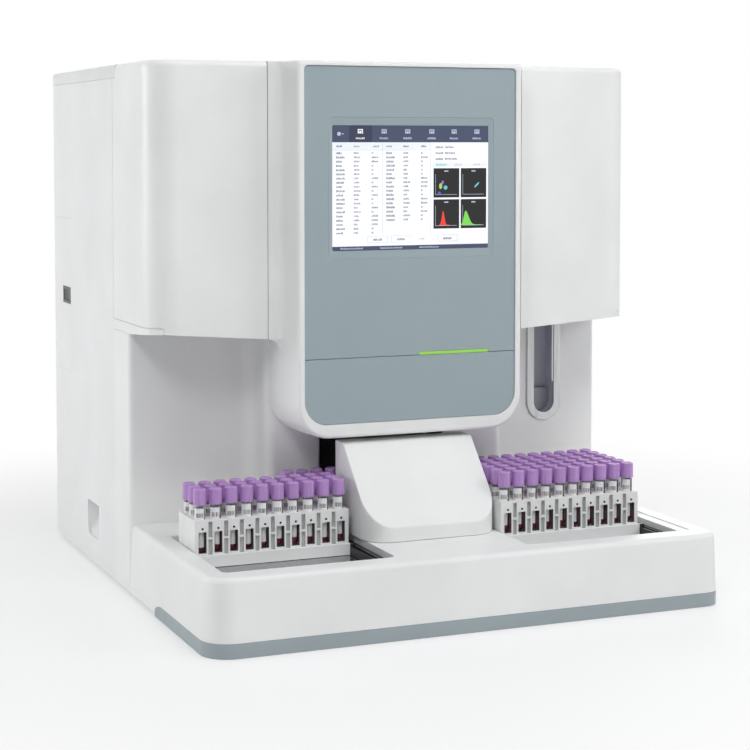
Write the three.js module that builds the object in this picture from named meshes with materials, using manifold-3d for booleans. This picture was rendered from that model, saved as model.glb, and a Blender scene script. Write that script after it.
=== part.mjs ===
// A bench hematology analyzer with an automatic loader for racks of blood tubes.
// Millimetres. X runs to the right, Y to the back and Z up.
// The origin is on the bench, below the middle of the whole unit.
import * as THREE from 'three';
import { mergeVertices } from 'three/addons/utils/BufferGeometryUtils.js';
import Module from 'manifold-3d';

const wasm = await Module();
wasm.setup();

// Walls, gaps and facets
const skin = 3;
const seat = 0.3;
const overrun = 2;
const weld = 0.001;
const bite = 0.5;
const fewSteps = 3;
const arcSteps = 6;

// Racks and tubes
const tubeCount = 10;
const tubePitch = 20.5;
const tubeRadius = 6.5;
const capRadius = 8.2;
const capHeight = 22;
const glassHeight = 16;
const rackDepth = 22.6;
const rackHeight = 58.5;
const rackGap = 0.4;
const rackLength = tubeCount * tubePitch;
const rackPitch = rackDepth + rackGap;

// Across: two rack bays, the middle between them and the walls outside them
const leftMargin = 29.5;
const rightMargin = 44.5;
const middleWidth = 181;
const guideRoom = 17;
const bayLength = rackLength + guideRoom;
const unitWidth = leftMargin + bayLength * 2 + middleWidth + rightMargin;
const left = -unitWidth / 2;
const right = unitWidth / 2;
const leftBayX = [left + leftMargin, left + leftMargin + bayLength];
const rightBayX = [leftBayX[1] + middleWidth, leftBayX[1] + middleWidth + bayLength];
const middleX = (leftBayX[1] + rightBayX[0]) / 2;

// From front to back: the bays, the lane behind them and the body
const bayFrontMargin = 36;
const bayDepth = 196.5;
const laneRoom = 1.9;
const blockSetback = 30.5;
const blockReach = 56.5;
const lowerDepth = 427;
const coverReach = 102;
const columnReach = 46.5;
const mouldingDepth = 76;
const rearInset = 16;
const bulkheadSetback = 60;
const laneWidth = rackDepth + laneRoom;
const unitDepth = bayFrontMargin + bayDepth + laneWidth + blockSetback + blockReach + lowerDepth;
const front = -unitDepth / 2;
const back = unitDepth / 2;
const bayFrontY = front + bayFrontMargin;
const laneFrontY = bayFrontY + bayDepth;
const laneRearY = laneFrontY + laneWidth;
const laneY = (laneFrontY + laneRearY) / 2;
const blockY = laneRearY + blockSetback;
const wallY = blockY + blockReach;
const coverY = wallY - coverReach;
const panelY = coverY - columnReach;
const seamY = wallY + mouldingDepth;
const rearFace = back - rearInset;
const rearSheet = rearFace - skin;
const bulkheadY = seamY + bulkheadSetback;

// Levels, from the bench up
const footHeight = 14;
const skirtLevel = 5;
const baseThickness = 4;
const plinthHeight = 18.5;
const trayLevel = 95;
const bayDrop = 20;
const chinRoom = 46.7;
const upperRise = 131.5;
const deckThickness = 14;
const soffitRise = 7;
const upperHeight = 356;
const lidThickness = 18;
const baseTop = footHeight + baseThickness;
const bayFloorLevel = trayLevel - bayDrop;
const rackFoot = bayFloorLevel + seat;
const rackTop = rackFoot + rackHeight;
const crownLevel = rackTop + glassHeight + capHeight;
const chinLevel = crownLevel + chinRoom;
const deckLevel = chinLevel + upperRise;
const deckTop = deckLevel + deckThickness;
const soffitFrontLevel = deckLevel + soffitRise;
const top = deckLevel + upperHeight;
const lidLevel = top - lidThickness;

function toSolid(geometry) {
  geometry.deleteAttribute('normal');
  geometry.deleteAttribute('uv');
  const merged = mergeVertices(geometry, weld);
  return new wasm.Manifold(new wasm.Mesh({
    numProp: 3,
    vertProperties: new Float32Array(merged.attributes.position.array),
    triVerts: new Uint32Array(merged.index.array),
  }));
}

function toGeometry(solid) {
  const mesh = solid.getMesh();
  const stride = mesh.numProp;
  const count = mesh.vertProperties.length / stride;
  const positions = new Float32Array(count * 3);
  for (let i = 0; i < count; i += 1) {
    for (let k = 0; k < 3; k += 1) positions[i * 3 + k] = mesh.vertProperties[i * stride + k];
  }
  const geometry = new THREE.BufferGeometry();
  geometry.setAttribute('position', new THREE.BufferAttribute(positions, 3));
  geometry.setIndex(new THREE.BufferAttribute(new Uint32Array(mesh.triVerts), 1));
  return geometry;
}

function join(...solids) {
  return solids.flat().reduce((whole, piece) => whole.add(piece));
}

function cut(solid, ...tools) {
  return tools.flat().reduce((rest, tool) => rest.subtract(tool), solid);
}

// A box between two corners, whose bounds may come in either order
function block(x0, x1, y0, y1, z0, z1) {
  const geometry = new THREE.BoxGeometry(Math.abs(x1 - x0), Math.abs(y1 - y0), Math.abs(z1 - z0));
  geometry.translate((x0 + x1) / 2, (y0 + y1) / 2, (z0 + z1) / 2);
  return toSolid(geometry);
}

// An outline of [u, v, radius] corners with its corners rounded off
function rounded(corners, steps = arcSteps) {
  const points = [];
  corners.forEach(([u, v, radius = 0], i) => {
    if (radius === 0) {
      points.push([u, v]);
      return;
    }
    const here = new THREE.Vector2(u, v);
    const before = corners[(i + corners.length - 1) % corners.length];
    const after = corners[(i + 1) % corners.length];
    const toBefore = new THREE.Vector2(before[0], before[1]).sub(here).normalize();
    const toAfter = new THREE.Vector2(after[0], after[1]).sub(here).normalize();
    const half = Math.acos(THREE.MathUtils.clamp(toBefore.dot(toAfter), -1, 1)) / 2;
    const middle = toBefore.clone().add(toAfter).normalize().multiplyScalar(radius / Math.sin(half));
    const centre = here.clone().add(middle);
    const start = here.clone().addScaledVector(toBefore, radius / Math.tan(half)).sub(centre);
    const end = here.clone().addScaledVector(toAfter, radius / Math.tan(half)).sub(centre);
    const turn = Math.atan2(start.x * end.y - start.y * end.x, start.dot(end));
    for (let s = 0; s <= steps; s += 1) {
      const spoke = start.clone().rotateAround(new THREE.Vector2(), (turn * s) / steps);
      points.push([centre.x + spoke.x, centre.y + spoke.y]);
    }
  });
  return points;
}

function extruded(outline, length, uAxis, vAxis, start) {
  const shape = new THREE.Shape(outline.map(([u, v]) => new THREE.Vector2(u, v)));
  const geometry = new THREE.ExtrudeGeometry(shape, { depth: length, bevelEnabled: false });
  const along = new THREE.Vector3().crossVectors(uAxis, vAxis);
  geometry.applyMatrix4(new THREE.Matrix4().makeBasis(uAxis, vAxis, along));
  geometry.translate(...start);
  return toSolid(geometry);
}

const axisX = new THREE.Vector3(1, 0, 0);
const axisY = new THREE.Vector3(0, 1, 0);
const axisZ = new THREE.Vector3(0, 0, 1);

// Prisms along each axis, from outlines in (x, y), (y, z) and (x, z)
function prismZ(outline, z0, z1) {
  return extruded(outline, z1 - z0, axisX, axisY, [0, 0, z0]);
}

function prismX(outline, x0, x1) {
  return extruded(outline, x1 - x0, axisY, axisZ, [x0, 0, 0]);
}

function prismY(outline, y0, y1) {
  return extruded(outline, y1 - y0, axisX, axisZ, [0, y1, 0]);
}

// A body through rings of equal length; flat is the axis along which each ring is level
function loft(rings, flat) {
  const keep = [0, 1, 2].filter((axis) => axis !== flat);
  const flatRing = (ring) => ring.map((point) => new THREE.Vector2(point[keep[0]], point[keep[1]]));
  const turned = THREE.ShapeUtils.area(flatRing(rings[0])) < 0;
  const loops = turned ? rings.map((ring) => [...ring].reverse()) : rings;
  const size = loops[0].length;
  const last = (loops.length - 1) * size;
  const index = [];
  THREE.ShapeUtils.triangulateShape(flatRing(loops[0]), []).forEach(([a, b, c]) => {
    index.push(c, b, a, last + a, last + b, last + c);
  });
  for (let r = 0; r < loops.length - 1; r += 1) {
    for (let i = 0; i < size; i += 1) {
      const j = (i + 1) % size;
      const low = r * size;
      const high = low + size;
      index.push(low + i, low + j, high + j, low + i, high + j, high + i);
    }
  }
  const points = loops.flat();
  let volume = 0;
  for (let k = 0; k < index.length; k += 3) {
    const [p, q, s] = index.slice(k, k + 3).map((n) => new THREE.Vector3(...points[n]));
    volume += p.dot(q.cross(s));
  }
  if (volume < 0) index.reverse();
  const geometry = new THREE.BufferGeometry();
  geometry.setAttribute('position', new THREE.Float32BufferAttribute(points.flat(), 3));
  geometry.setIndex(index);
  return toSolid(geometry);
}

// Round bars along Z and along Y
function barZ(x, y, radius, z0, z1, sides) {
  const geometry = new THREE.CylinderGeometry(radius, radius, z1 - z0, sides);
  geometry.rotateX(Math.PI / 2);
  geometry.translate(x, y, (z0 + z1) / 2);
  return toSolid(geometry);
}

function barY(x, z, radius, y0, y1, sides) {
  const geometry = new THREE.CylinderGeometry(radius, radius, y1 - y0, sides);
  geometry.translate(x, (y0 + y1) / 2, z);
  return toSolid(geometry);
}

// A turned body about a vertical axis, from [radius, height] points that start and end on the axis
function turnedZ(profile, x, y, sides) {
  const geometry = new THREE.LatheGeometry(profile.map(([r, h]) => new THREE.Vector2(r, h)), sides);
  geometry.rotateX(Math.PI / 2);
  geometry.translate(x, y, 0);
  return toSolid(geometry);
}

const finishes = {
  white: { color: 0xe4e5e4, roughness: 0.45, metalness: 0 },
  bluePanel: { color: 0x98a8ae, roughness: 0.5, metalness: 0 },
  plinthGrey: { color: 0x98a3a8, roughness: 0.5, metalness: 0 },
  black: { color: 0x17181a, roughness: 0.5, metalness: 0 },
  darkGrey: { color: 0x53565a, roughness: 0.6, metalness: 0 },
  steel: { color: 0xa8abad, roughness: 0.35, metalness: 0.9 },
  screen: { color: 0x1c2a3a, roughness: 0.15, metalness: 0 },
  light: { color: 0x8cc84b, roughness: 0.3, metalness: 0 },
  rack: { color: 0xd9dadb, roughness: 0.5, metalness: 0 },
  amber: { color: 0x8a5a2c, roughness: 0.3, metalness: 0 },
  rubber: { color: 0x26272a, roughness: 0.9, metalness: 0 },
};

const analyzer = new THREE.Group();

function place(name, solid, finish) {
  const mesh = new THREE.Mesh(toGeometry(solid), new THREE.MeshStandardMaterial(finishes[finish]));
  mesh.name = name;
  analyzer.add(mesh);
}

// Sample tray: a moulded tub with a drafted wall, a rounded rim and two rack bays joined by a lane
const trayRadius = 24;
const trayDraft = 9;
const trayRim = 5;
const trayWall = 4;
const floorThickness = 2;
const floorBottom = bayFloorLevel - floorThickness;
const trayBellyLevel = floorBottom - skin - trayWall;
const trayRearY = wallY - seat;
const trayFoot = plinthHeight + seat;

function trayPlan(inset, rearY) {
  const x = right - inset;
  const y = front + inset;
  const radius = trayRadius - inset;
  return rounded([[-x, rearY], [-x, y, radius], [x, y, radius], [x, rearY]]);
}

function trayRing(inset, z) {
  return trayPlan(inset, trayRearY).map(([x, y]) => [x, y, z]);
}

const bayRadius = 8;
const ledgeWidth = 16;
const ledgeDepth = 1.2;

// Plan of both bays and the lane behind them, drawn in by inset
function bayPlan(inset) {
  const [lx0, lx1] = leftBayX;
  const [rx0, rx1] = rightBayX;
  const r = bayRadius - inset;
  const lane = laneFrontY + inset;
  const rear = laneRearY - inset;
  const near = bayFrontY + inset;
  return rounded([
    [lx0 + inset, rear, r], [lx0 + inset, near, r], [lx1 - inset, near, r], [lx1 - inset, lane],
    [rx0 + inset, lane], [rx0 + inset, near, r], [rx1 - inset, near, r], [rx1 - inset, rear, r],
  ], fewSteps);
}

const bellyInset = trayDraft + trayWall;
const postRadius = 9;
const postSides = 8;
const postInset = 70;
const skirtSetback = 4;
const skirtFrontY = laneFrontY - skirtSetback;
const plinthEndY = skirtFrontY - seat;
const plinthFoot = 2;
const plinthArch = plinthHeight - skirtLevel - seat;

const trayPosts = [];
for (const side of [-1, 1]) {
  for (const y of [front + postInset, trayRearY - postInset]) {
    trayPosts.push(barZ(side * (right - postInset), y, postRadius, baseTop + seat, trayBellyLevel + bite,
      postSides));
  }
}

// A skirt at each side reaches down behind the plinth, whose end is rounded off
const skirtArch = rounded([
  [skirtFrontY - plinthArch - overrun, trayFoot + bite], [skirtFrontY - plinthArch - overrun, trayFoot],
  [skirtFrontY, trayFoot, plinthArch + seat], [skirtFrontY, skirtLevel], [trayRearY, skirtLevel],
  [trayRearY, trayFoot + bite],
]);
const traySkirts = [prismX(skirtArch, left, left + trayWall), prismX(skirtArch, right - trayWall, right)];
const trayShell = cut(
  loft([
    trayRing(0, trayFoot),
    trayRing(trayDraft, trayLevel - trayRim),
    trayRing(trayDraft + trayRim / 4, trayLevel - trayRim / 3),
    trayRing(trayDraft + trayRim, trayLevel),
  ], 2),
  prismZ(trayPlan(bellyInset, trayRearY - trayWall), trayFoot - overrun, trayBellyLevel),
  prismZ(bayPlan(0), floorBottom - seat, trayLevel + overrun),
  block(rightBayX[1] - bayRadius, rightBayX[1] + ledgeWidth, bayFrontY, trayRearY + overrun,
    trayLevel - ledgeDepth, trayLevel + overrun),
);
place('sample_tray', join(trayShell, trayPosts, traySkirts), 'white');
place('bay_floor', prismZ(bayPlan(seat), floorBottom, bayFloorLevel), 'steel');

// The plinth band round the foot of the tray
const plinthProfile = rounded([
  [front - overrun, plinthFoot], [plinthEndY, plinthFoot], [plinthEndY, plinthHeight, plinthArch],
  [front - overrun, plinthHeight],
]);
place('tray_plinth', prismZ(trayPlan(0, plinthEndY + overrun), 0, plinthHeight + overrun)
  .subtract(prismZ(trayPlan(trayWall, plinthEndY + overrun * 2), -overrun, plinthHeight + overrun * 2))
  .intersect(prismX(plinthProfile, left - overrun, right + overrun)), 'plinthGrey');

// Racks, with their tubes standing in them
const windowWidth = 9;
const windowHeight = 26.5;
const windowRise = 17;
const windowDepth = 3;
const slotWidth = 5.2;
const slotHeight = 19.5;
const slotDrop = 2.4;
const glassSides = 6;
const capSides = 6;

function tubeRack(x0, frontY) {
  const y1 = frontY + rackDepth;
  const middleY = frontY + rackDepth / 2;
  let rack = block(x0, x0 + rackLength, frontY, y1, rackFoot, rackTop);
  for (let i = 0; i < tubeCount; i += 1) {
    const x = x0 + tubePitch * (i + 1 / 2);
    rack = rack.subtract(block(x - windowWidth / 2, x + windowWidth / 2, frontY - overrun,
      frontY + windowDepth, rackFoot + windowRise, rackFoot + windowRise + windowHeight));
    if (i > 0) {
      const between = x - tubePitch / 2;
      rack = rack.subtract(block(between - slotWidth / 2, between + slotWidth / 2, frontY - overrun,
        y1 + overrun, rackTop - slotDrop - slotHeight, rackTop - slotDrop));
    }
  }
  for (let i = 0; i < tubeCount; i += 1) {
    const x = x0 + tubePitch * (i + 1 / 2);
    rack = rack.add(barZ(x, middleY, tubeRadius, rackTop - bite, rackTop + glassHeight + bite, glassSides));
    rack = rack.add(barZ(x, middleY, capRadius, rackTop + glassHeight, crownLevel, capSides));
  }
  return rack;
}

const leftRackInset = 2;
const rightRackInset = 3;
const laneRackShift = 144;
const leftRackX = leftBayX[0] + leftRackInset;
const rightRackX = rightBayX[0] + rightRackInset;
const laneRackX = leftRackX + laneRackShift;
const leftRackRows = 3;
const rightRackRows = 6;
const laneRackY = laneY - rackDepth / 2;
const leftRowGap = 9;
const leftRackRearY = laneRackY - rackPitch - leftRowGap;

place('lane_rack', tubeRack(laneRackX, laneRackY), 'rack');
for (let row = 0; row < leftRackRows; row += 1) {
  place(`left_rack_${row + 1}`, tubeRack(leftRackX, leftRackRearY - (leftRackRows - 1 - row) * rackPitch),
    'rack');
}
for (let row = 0; row < rightRackRows; row += 1) {
  place(`right_rack_${row + 1}`, tubeRack(rightRackX, laneRackY - (rightRackRows - 1 - row) * rackPitch),
    'rack');
}
const leftRackFrontY = leftRackRearY - (leftRackRows - 1) * rackPitch;
const rightRackFrontY = laneRackY - (rightRackRows - 1) * rackPitch;

// Slotted guides at the right end of each bay, and the pusher bars that run in them
const guideHeight = 11;
const guideEdge = 2;
const guideSlot = 5;
const guideSlotDepth = 3;
const pusherHeight = 15;
const pusherThickness = 6;
const guideRearY = laneFrontY - overrun;

const guideTop = bayFloorLevel + guideHeight;

function guide(x0, x1) {
  const bar = block(x0, x1, bayFrontY + bayRadius, guideRearY, bayFloorLevel + seat, guideTop);
  return bar.subtract(block(x0 + guideEdge, x0 + guideEdge + guideSlot, bayFrontY + bayRadius + skin,
    guideRearY - skin, guideTop - guideSlotDepth, guideTop + overrun));
}

function pusher(x0, guideX, rackFrontY) {
  const y1 = rackFrontY - seat;
  const y0 = y1 - pusherThickness;
  const slotX = guideX + guideEdge + seat;
  const reach = slotX + guideSlot - seat * 2;
  return join(
    block(x0, guideX - seat, y0, y1, rackFoot, rackFoot + pusherHeight),
    block(guideX - seat - bite, reach, y0, y1, guideTop + seat, rackFoot + pusherHeight),
    block(slotX, reach, y0, y1, guideTop - guideSlotDepth + seat, guideTop + seat + bite),
  );
}

const leftGuideX = [leftRackX + rackLength + seat, leftBayX[1] - seat];
const rightGuideX = [rightRackX + rackLength + seat, rightBayX[1] - seat];
place('left_guide', guide(...leftGuideX), 'black');
place('right_guide', guide(...rightGuideX), 'black');
place('left_stop_bar', pusher(leftRackX, leftGuideX[0], leftRackFrontY), 'rack');
place('right_pusher', pusher(rightRackX, rightGuideX[0], rightRackFrontY), 'rack');

// Base plate and feet
const footRadius = 18;
const footSides = 16;
const footInset = 46;
const baseX = right - skin - seat;
const trayBaseX = right - bellyInset - seat;
const trayBaseY = front + bellyInset + seat;
const baseStepY = wallY + skin + seat;

for (const [xName, xSign] of [['left', -1], ['right', 1]]) {
  for (const [yName, y] of [['front', trayBaseY + footInset], ['rear', rearSheet - footInset]]) {
    place(`foot_${yName}_${xName}`, barZ(xSign * (trayBaseX - footInset), y, footRadius, 0, footHeight - seat,
      footSides), 'rubber');
  }
}
const baseOutline = rounded([
  [-baseX, rearSheet - seat], [-baseX, baseStepY], [-trayBaseX, baseStepY],
  [-trayBaseX, trayBaseY, trayRadius - bellyInset], [trayBaseX, trayBaseY, trayRadius - bellyInset],
  [trayBaseX, baseStepY], [baseX, baseStepY], [baseX, rearSheet - seat],
]);
place('base_plate', prismZ(baseOutline, footHeight, baseTop), 'steel');

// The column's place and width, and the sampler cover between the bays
const columnShift = 0.5;
const columnHalf = 166;
const columnX = middleX + columnShift;
const wedgeLap = 4;
const wedgeInset = 1;
const wedgeX = [leftBayX[1] - wedgeLap, rightBayX[0] - wedgeInset];
const chinGap = 2.5;

// Front moulding: one wall that wraps both corners and the block behind the chin
const blockOverhang = [5, 14];
const blockX = [columnX - columnHalf - blockOverhang[0], columnX + columnHalf + blockOverhang[1]];
const mouldingCorner = 8;
const blockCorner = 14;
const blockCove = 20;
const mouldingTop = deckLevel - seat;
const blockLevel = trayLevel + seat;
const bayWindowX = [wedgeX[0] - wedgeInset, wedgeX[1] - overrun];
const bayWindowTop = chinLevel - chinGap;

function mouldingPlan(inset, rearY, withBlock) {
  const x = right - inset;
  const y = wallY + inset;
  const middle = withBlock ? [
    [blockX[0] + inset, y, blockCove + inset], [blockX[0] + inset, blockY + inset, blockCorner - inset],
    [blockX[1] - inset, blockY + inset, blockCorner - inset], [blockX[1] - inset, y, blockCove + inset],
  ] : [];
  return rounded([
    [-x, rearY], [-x, y, mouldingCorner - inset], ...middle, [x, y, mouldingCorner - inset], [x, rearY],
  ], fewSteps);
}

function mouldingShell(withBlock, z0, z1) {
  return prismZ(mouldingPlan(0, seamY - seat, withBlock), z0, z1).subtract(
    prismZ(mouldingPlan(skin, seamY + overrun, withBlock), z0 - overrun, z1 + overrun));
}

// Open-vial station in the right-hand wall: a steel frame, a dark recess, a key and a probe
const vialMargin = 83.5;
const vialHalf = 27;
const vialHeight = 147.8;
const vialRecessHalf = 16;
const vialRecessDepth = 26;
const vialProud = 2;
const vialX = right - vialMargin;
const vialTop = mouldingTop - seat * 3;
const vialBottom = vialTop - vialHeight;
const vialWallHalf = vialHalf - trayWall;
const vialCentre = vialBottom + vialHalf;

function vialOutline(half, topZ) {
  const x0 = vialX - half;
  const x1 = vialX + half;
  const z = vialCentre - half;
  return rounded([[x0, topZ], [x0, z, half - weld], [x1, z, half - weld], [x1, topZ]]);
}

// The space over the wall, whose lower side rises towards the front like the soffit
function overSoffit(level) {
  return prismX([
    [coverY - overrun, top], [coverY - overrun, level + soffitRise], [coverY, level + soffitRise],
    [wallY, level], [seamY + overrun, level], [seamY + overrun, top],
  ], left - overrun, right + overrun);
}

const frontMoulding = cut(
  join(
    mouldingShell(false, skirtLevel, blockLevel + weld),
    mouldingShell(true, blockLevel, soffitFrontLevel)),
  overSoffit(mouldingTop),
  block(-baseX - weld, baseX + weld, wallY - overrun, seamY + overrun, 0, baseTop + seat),
  block(blockX[0] + blockCove + skin + bite, blockX[1] - blockCove - skin - bite, wallY - overrun,
    wallY + skin + overrun, blockLevel + overrun, deckLevel - deckThickness),
  block(...bayWindowX, blockY - overrun, blockY + skin + overrun, blockLevel - overrun, bayWindowTop),
  prismY(vialOutline(vialWallHalf, vialTop - trayWall), wallY - overrun, wallY + skin + overrun),
);
place('front_moulding', frontMoulding, 'white');
const vialFrame = cut(
  join(
    prismY(vialOutline(vialHalf, vialTop), wallY - seat - vialProud, wallY - seat),
    prismY(vialOutline(vialWallHalf - seat, vialTop - trayWall - seat), wallY - seat - weld, wallY + skin),
  ),
  prismY(vialOutline(vialRecessHalf, vialTop - trayWall * 2), wallY - overrun * 2, wallY + skin + overrun),
);
place('open_vial_frame', vialFrame, 'steel');
const recessWallHalf = vialRecessHalf + skin;
const recessFrontY = wallY + skin + seat;
const recess = cut(
  prismY(vialOutline(recessWallHalf, vialTop - trayWall - seat), recessFrontY, wallY + vialRecessDepth),
  prismY(vialOutline(vialRecessHalf, vialTop - trayWall * 2), recessFrontY - overrun,
    wallY + vialRecessDepth - skin),
);
place('open_vial_recess', recess, 'black');

// The aspirate key presses towards the back of its recess
const keyHeight = 34;
const keyThickness = 5;
const keyTravel = 3;
const keyBackY = wallY + vialRecessDepth - skin - keyTravel - seat;
const keyCut = block(vialX - vialHalf, vialX + vialHalf, wallY - overrun, back,
  vialCentre - vialRecessHalf + keyHeight, top);
place('aspirate_key', prismY(vialOutline(vialRecessHalf - seat, top), keyBackY - keyThickness, keyBackY)
  .subtract(keyCut), 'darkGrey');

// The open-vial probe slides in a sleeve of the deck
const probeReach = 27;
const probeRadius = 1.5;
const probeSides = 8;
const probeRise = 58;
const probeTip = vialBottom + probeRise;
const probeY = wallY - probeReach;
const carriageHalf = 8;
const carriageHeight = 24;
const carriageLevel = deckTop + seat;
const openProbe = join(
  turnedZ([[0, probeTip], [probeRadius, probeTip + probeRadius * 2], [probeRadius, carriageLevel + bite],
    [0, carriageLevel + bite]], vialX, probeY, probeSides),
  block(vialX - carriageHalf, vialX + carriageHalf, probeY - carriageHalf, probeY + carriageHalf,
    carriageLevel, carriageLevel + carriageHeight),
);
place('open_vial_probe', openProbe, 'steel');

// Column: a white housing that carries the display and ends in a chin over the lane
const columnTaper = 6;
const columnEdge = 6;
const beadProud = 2;
const chinRadius = 45;
const flangeOverhang = 17;
const flangeDepth = 12;
const flangeDrop = 4;
const flangeFillet = 20;
const coveRadius = 12;
const panelBorder = 9;
const panelRise = 18;
const panelDrop = 6;
const panelRadius = 32;
const panelThickness = 3.6;
const panelGap = 0.3;
const columnFrontHalf = columnHalf - columnTaper;
const flangeHalf = columnHalf + flangeOverhang;
const flangeLevel = deckLevel - flangeDrop;
const panelHalf = columnFrontHalf - panelBorder;
const panelLevel = chinLevel + panelRise;
const panelTop = top - panelDrop;
const beadY = panelY - beadProud;
const columnRearY = blockY - seat;
const pocketY = panelY + panelThickness + seat;
const columnHollowY = pocketY + skin;

function columnPlan(inset, frontY, rearY) {
  const x1 = columnHalf - inset;
  const x0 = columnFrontHalf - inset;
  return rounded([
    [columnX - x1, rearY], [columnX - x1, coverY], [columnX - x0, frontY, columnEdge],
    [columnX + x0, frontY, columnEdge], [columnX + x1, coverY], [columnX + x1, rearY],
  ], fewSteps);
}

function columnOutline(inset, bottomZ, topZ, radius) {
  const x = columnHalf - inset;
  return rounded([[columnX - x, topZ], [columnX - x, bottomZ, radius], [columnX + x, bottomZ, radius],
    [columnX + x, topZ]]);
}

// The flange fills the strip between the column and the covers, with coves in plan and below
const flangeOutline = rounded([
  [columnX - flangeHalf, top], [columnX - flangeHalf, flangeLevel],
  [columnX - columnHalf + weld, flangeLevel, flangeFillet - skin],
  [columnX - columnHalf + weld, flangeLevel - flangeFillet],
  [columnX + columnHalf - weld, flangeLevel - flangeFillet],
  [columnX + columnHalf - weld, flangeLevel, flangeFillet - skin],
  [columnX + flangeHalf, flangeLevel], [columnX + flangeHalf, top],
], fewSteps);
const covePlan = rounded([
  [columnX - flangeHalf, coverY + bite], [columnX - flangeHalf, coverY],
  [columnX - columnHalf, coverY, coveRadius], [columnX - columnHalf + overrun, coverY - coveRadius - overrun],
  [columnX + columnHalf - overrun, coverY - coveRadius - overrun], [columnX + columnHalf, coverY, coveRadius],
  [columnX + flangeHalf, coverY], [columnX + flangeHalf, coverY + bite],
], fewSteps);
const columnSolid = join(
  prismZ(columnPlan(0, beadY, columnRearY), chinLevel, top)
    .intersect(prismY(columnOutline(0, chinLevel, top + overrun, chinRadius), beadY - overrun,
      columnRearY + overrun)),
  prismY(flangeOutline, coverY, coverY + flangeDepth),
  prismZ(covePlan, flangeLevel, top),
);
const columnHollow = prismZ(columnPlan(skin, columnHollowY, columnRearY + overrun), chinLevel + skin,
  top - skin)
  .intersect(prismY(columnOutline(skin, chinLevel + skin, top, chinRadius - skin), beadY,
    columnRearY + overrun * 2));

function panelOutline(inset) {
  const x = panelHalf - inset;
  const z0 = panelLevel + inset;
  const z1 = panelTop - inset;
  return rounded([[columnX - x, z1, columnEdge - inset], [columnX - x, z0, panelRadius - inset],
    [columnX + x, z0, panelRadius - inset], [columnX + x, z1, columnEdge - inset]]);
}

// The sampling needle drops through a slot in the floor of the chin
const needleShift = 41.5;
const needleX = middleX + needleShift;
const needleSlotHalf = 9;
const needleSlot = block(needleX - needleSlotHalf, needleX + needleSlotHalf, laneY - needleSlotHalf,
  laneY + needleSlotHalf, chinLevel - overrun, chinLevel + skin + overrun);
place('column_housing', cut(columnSolid, columnHollow, prismY(panelOutline(0), beadY - overrun, pocketY),
  needleSlot),
  'white');

// Front panels, status light and display
const lowerPanelHeight = 85.5;
const lightShift = 11;
const lightLength = 100;
const lightHeight = 3.6;
const screenReach = [117, 118];
const screenDrop = 66.5;
const screenHeight = 182.5;
const screenRadius = 5;
const glassInsetX = [5.5, 7];
const glassInsetZ = [10.5, 10];
const bezelSink = 1;
const panelSeam = panelLevel + lowerPanelHeight;
const lightX = [columnX + lightShift, columnX + lightShift + lightLength];
const screenX = [columnX - screenReach[0], columnX + screenReach[1]];
const screenLevel = [panelTop - screenDrop - screenHeight, panelTop - screenDrop];
const glassX = [screenX[0] + glassInsetX[0], screenX[1] - glassInsetX[1]];
const glassLevel = [screenLevel[0] + glassInsetZ[0], screenLevel[1] - glassInsetZ[1]];
const wholePanel = prismY(panelOutline(panelGap), panelY, panelY + panelThickness);
const aboveSeam = block(left, right, beadY, pocketY, panelSeam + panelGap, top);
const lightCut = (grow) => block(lightX[0] - grow, lightX[1] + grow, beadY, pocketY, panelSeam - overrun,
  panelSeam + panelGap + lightHeight + grow);
const screenCut = (grow) => {
  const [x0, x1] = [screenX[0] - grow, screenX[1] + grow];
  const [z0, z1] = [screenLevel[0] - grow, screenLevel[1] + grow];
  const outline = rounded([[x0, z0, screenRadius], [x1, z0, screenRadius], [x1, z1, screenRadius],
    [x0, z1, screenRadius]], fewSteps);
  return prismY(outline, beadY, pocketY);
};
const glassCut = (grow, y0, y1) => block(glassX[0] - grow, glassX[1] + grow, y0, y1, glassLevel[0] - grow,
  glassLevel[1] + grow);
place('display_panel', cut(wholePanel.intersect(aboveSeam), lightCut(panelGap), screenCut(panelGap)),
  'bluePanel');
place('lower_panel', cut(wholePanel, block(left, right, beadY, pocketY, panelSeam - panelGap, top)),
  'bluePanel');
place('status_light', block(...lightX, panelY - bite, panelY + panelThickness, panelSeam + panelGap,
  panelSeam + panelGap + lightHeight), 'light');
const bezelY = panelY + bezelSink;
place('screen_bezel', screenCut(0).intersect(block(left, right, bezelY, panelY + panelThickness, 0, top))
  .subtract(glassCut(seat, beadY, back)), 'bluePanel');
place('touchscreen', glassCut(0, bezelY + bite, panelY + panelThickness), 'screen');

// Sampling needle unit inside the chin, on the block's open face
const needleRise = 16.2;
const needleRadius = 1.6;
const needleHeadHalf = 14;
const needleHeadDrop = 5;
const needleHeadHeight = 44;
const needleTip = crownLevel + needleRise;
const needleHeadLevel = deckLevel - needleHeadDrop - needleHeadHeight;
const needleUnit = join(
  turnedZ([[0, needleTip], [needleRadius, needleTip + needleRadius * 3],
    [needleRadius, needleHeadLevel + bite], [0, needleHeadLevel + bite]], needleX, laneY, probeSides),
  block(needleX - needleHeadHalf, needleX + needleHeadHalf, laneY - needleHeadHalf, laneY + needleHeadHalf,
    needleHeadLevel, needleHeadLevel + needleHeadHeight),
);
place('sampling_needle', needleUnit, 'steel');
const towerWidth = 60;
const towerDepth = 20;
const towerFrontY = laneY + needleHeadHalf + seat;
const towerTop = deckLevel - seat;
place('needle_guide', block(needleX - towerWidth / 2, needleX + towerWidth / 2, towerFrontY,
  towerFrontY + towerDepth, chinLevel + skin + seat, towerTop), 'darkGrey');

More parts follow.
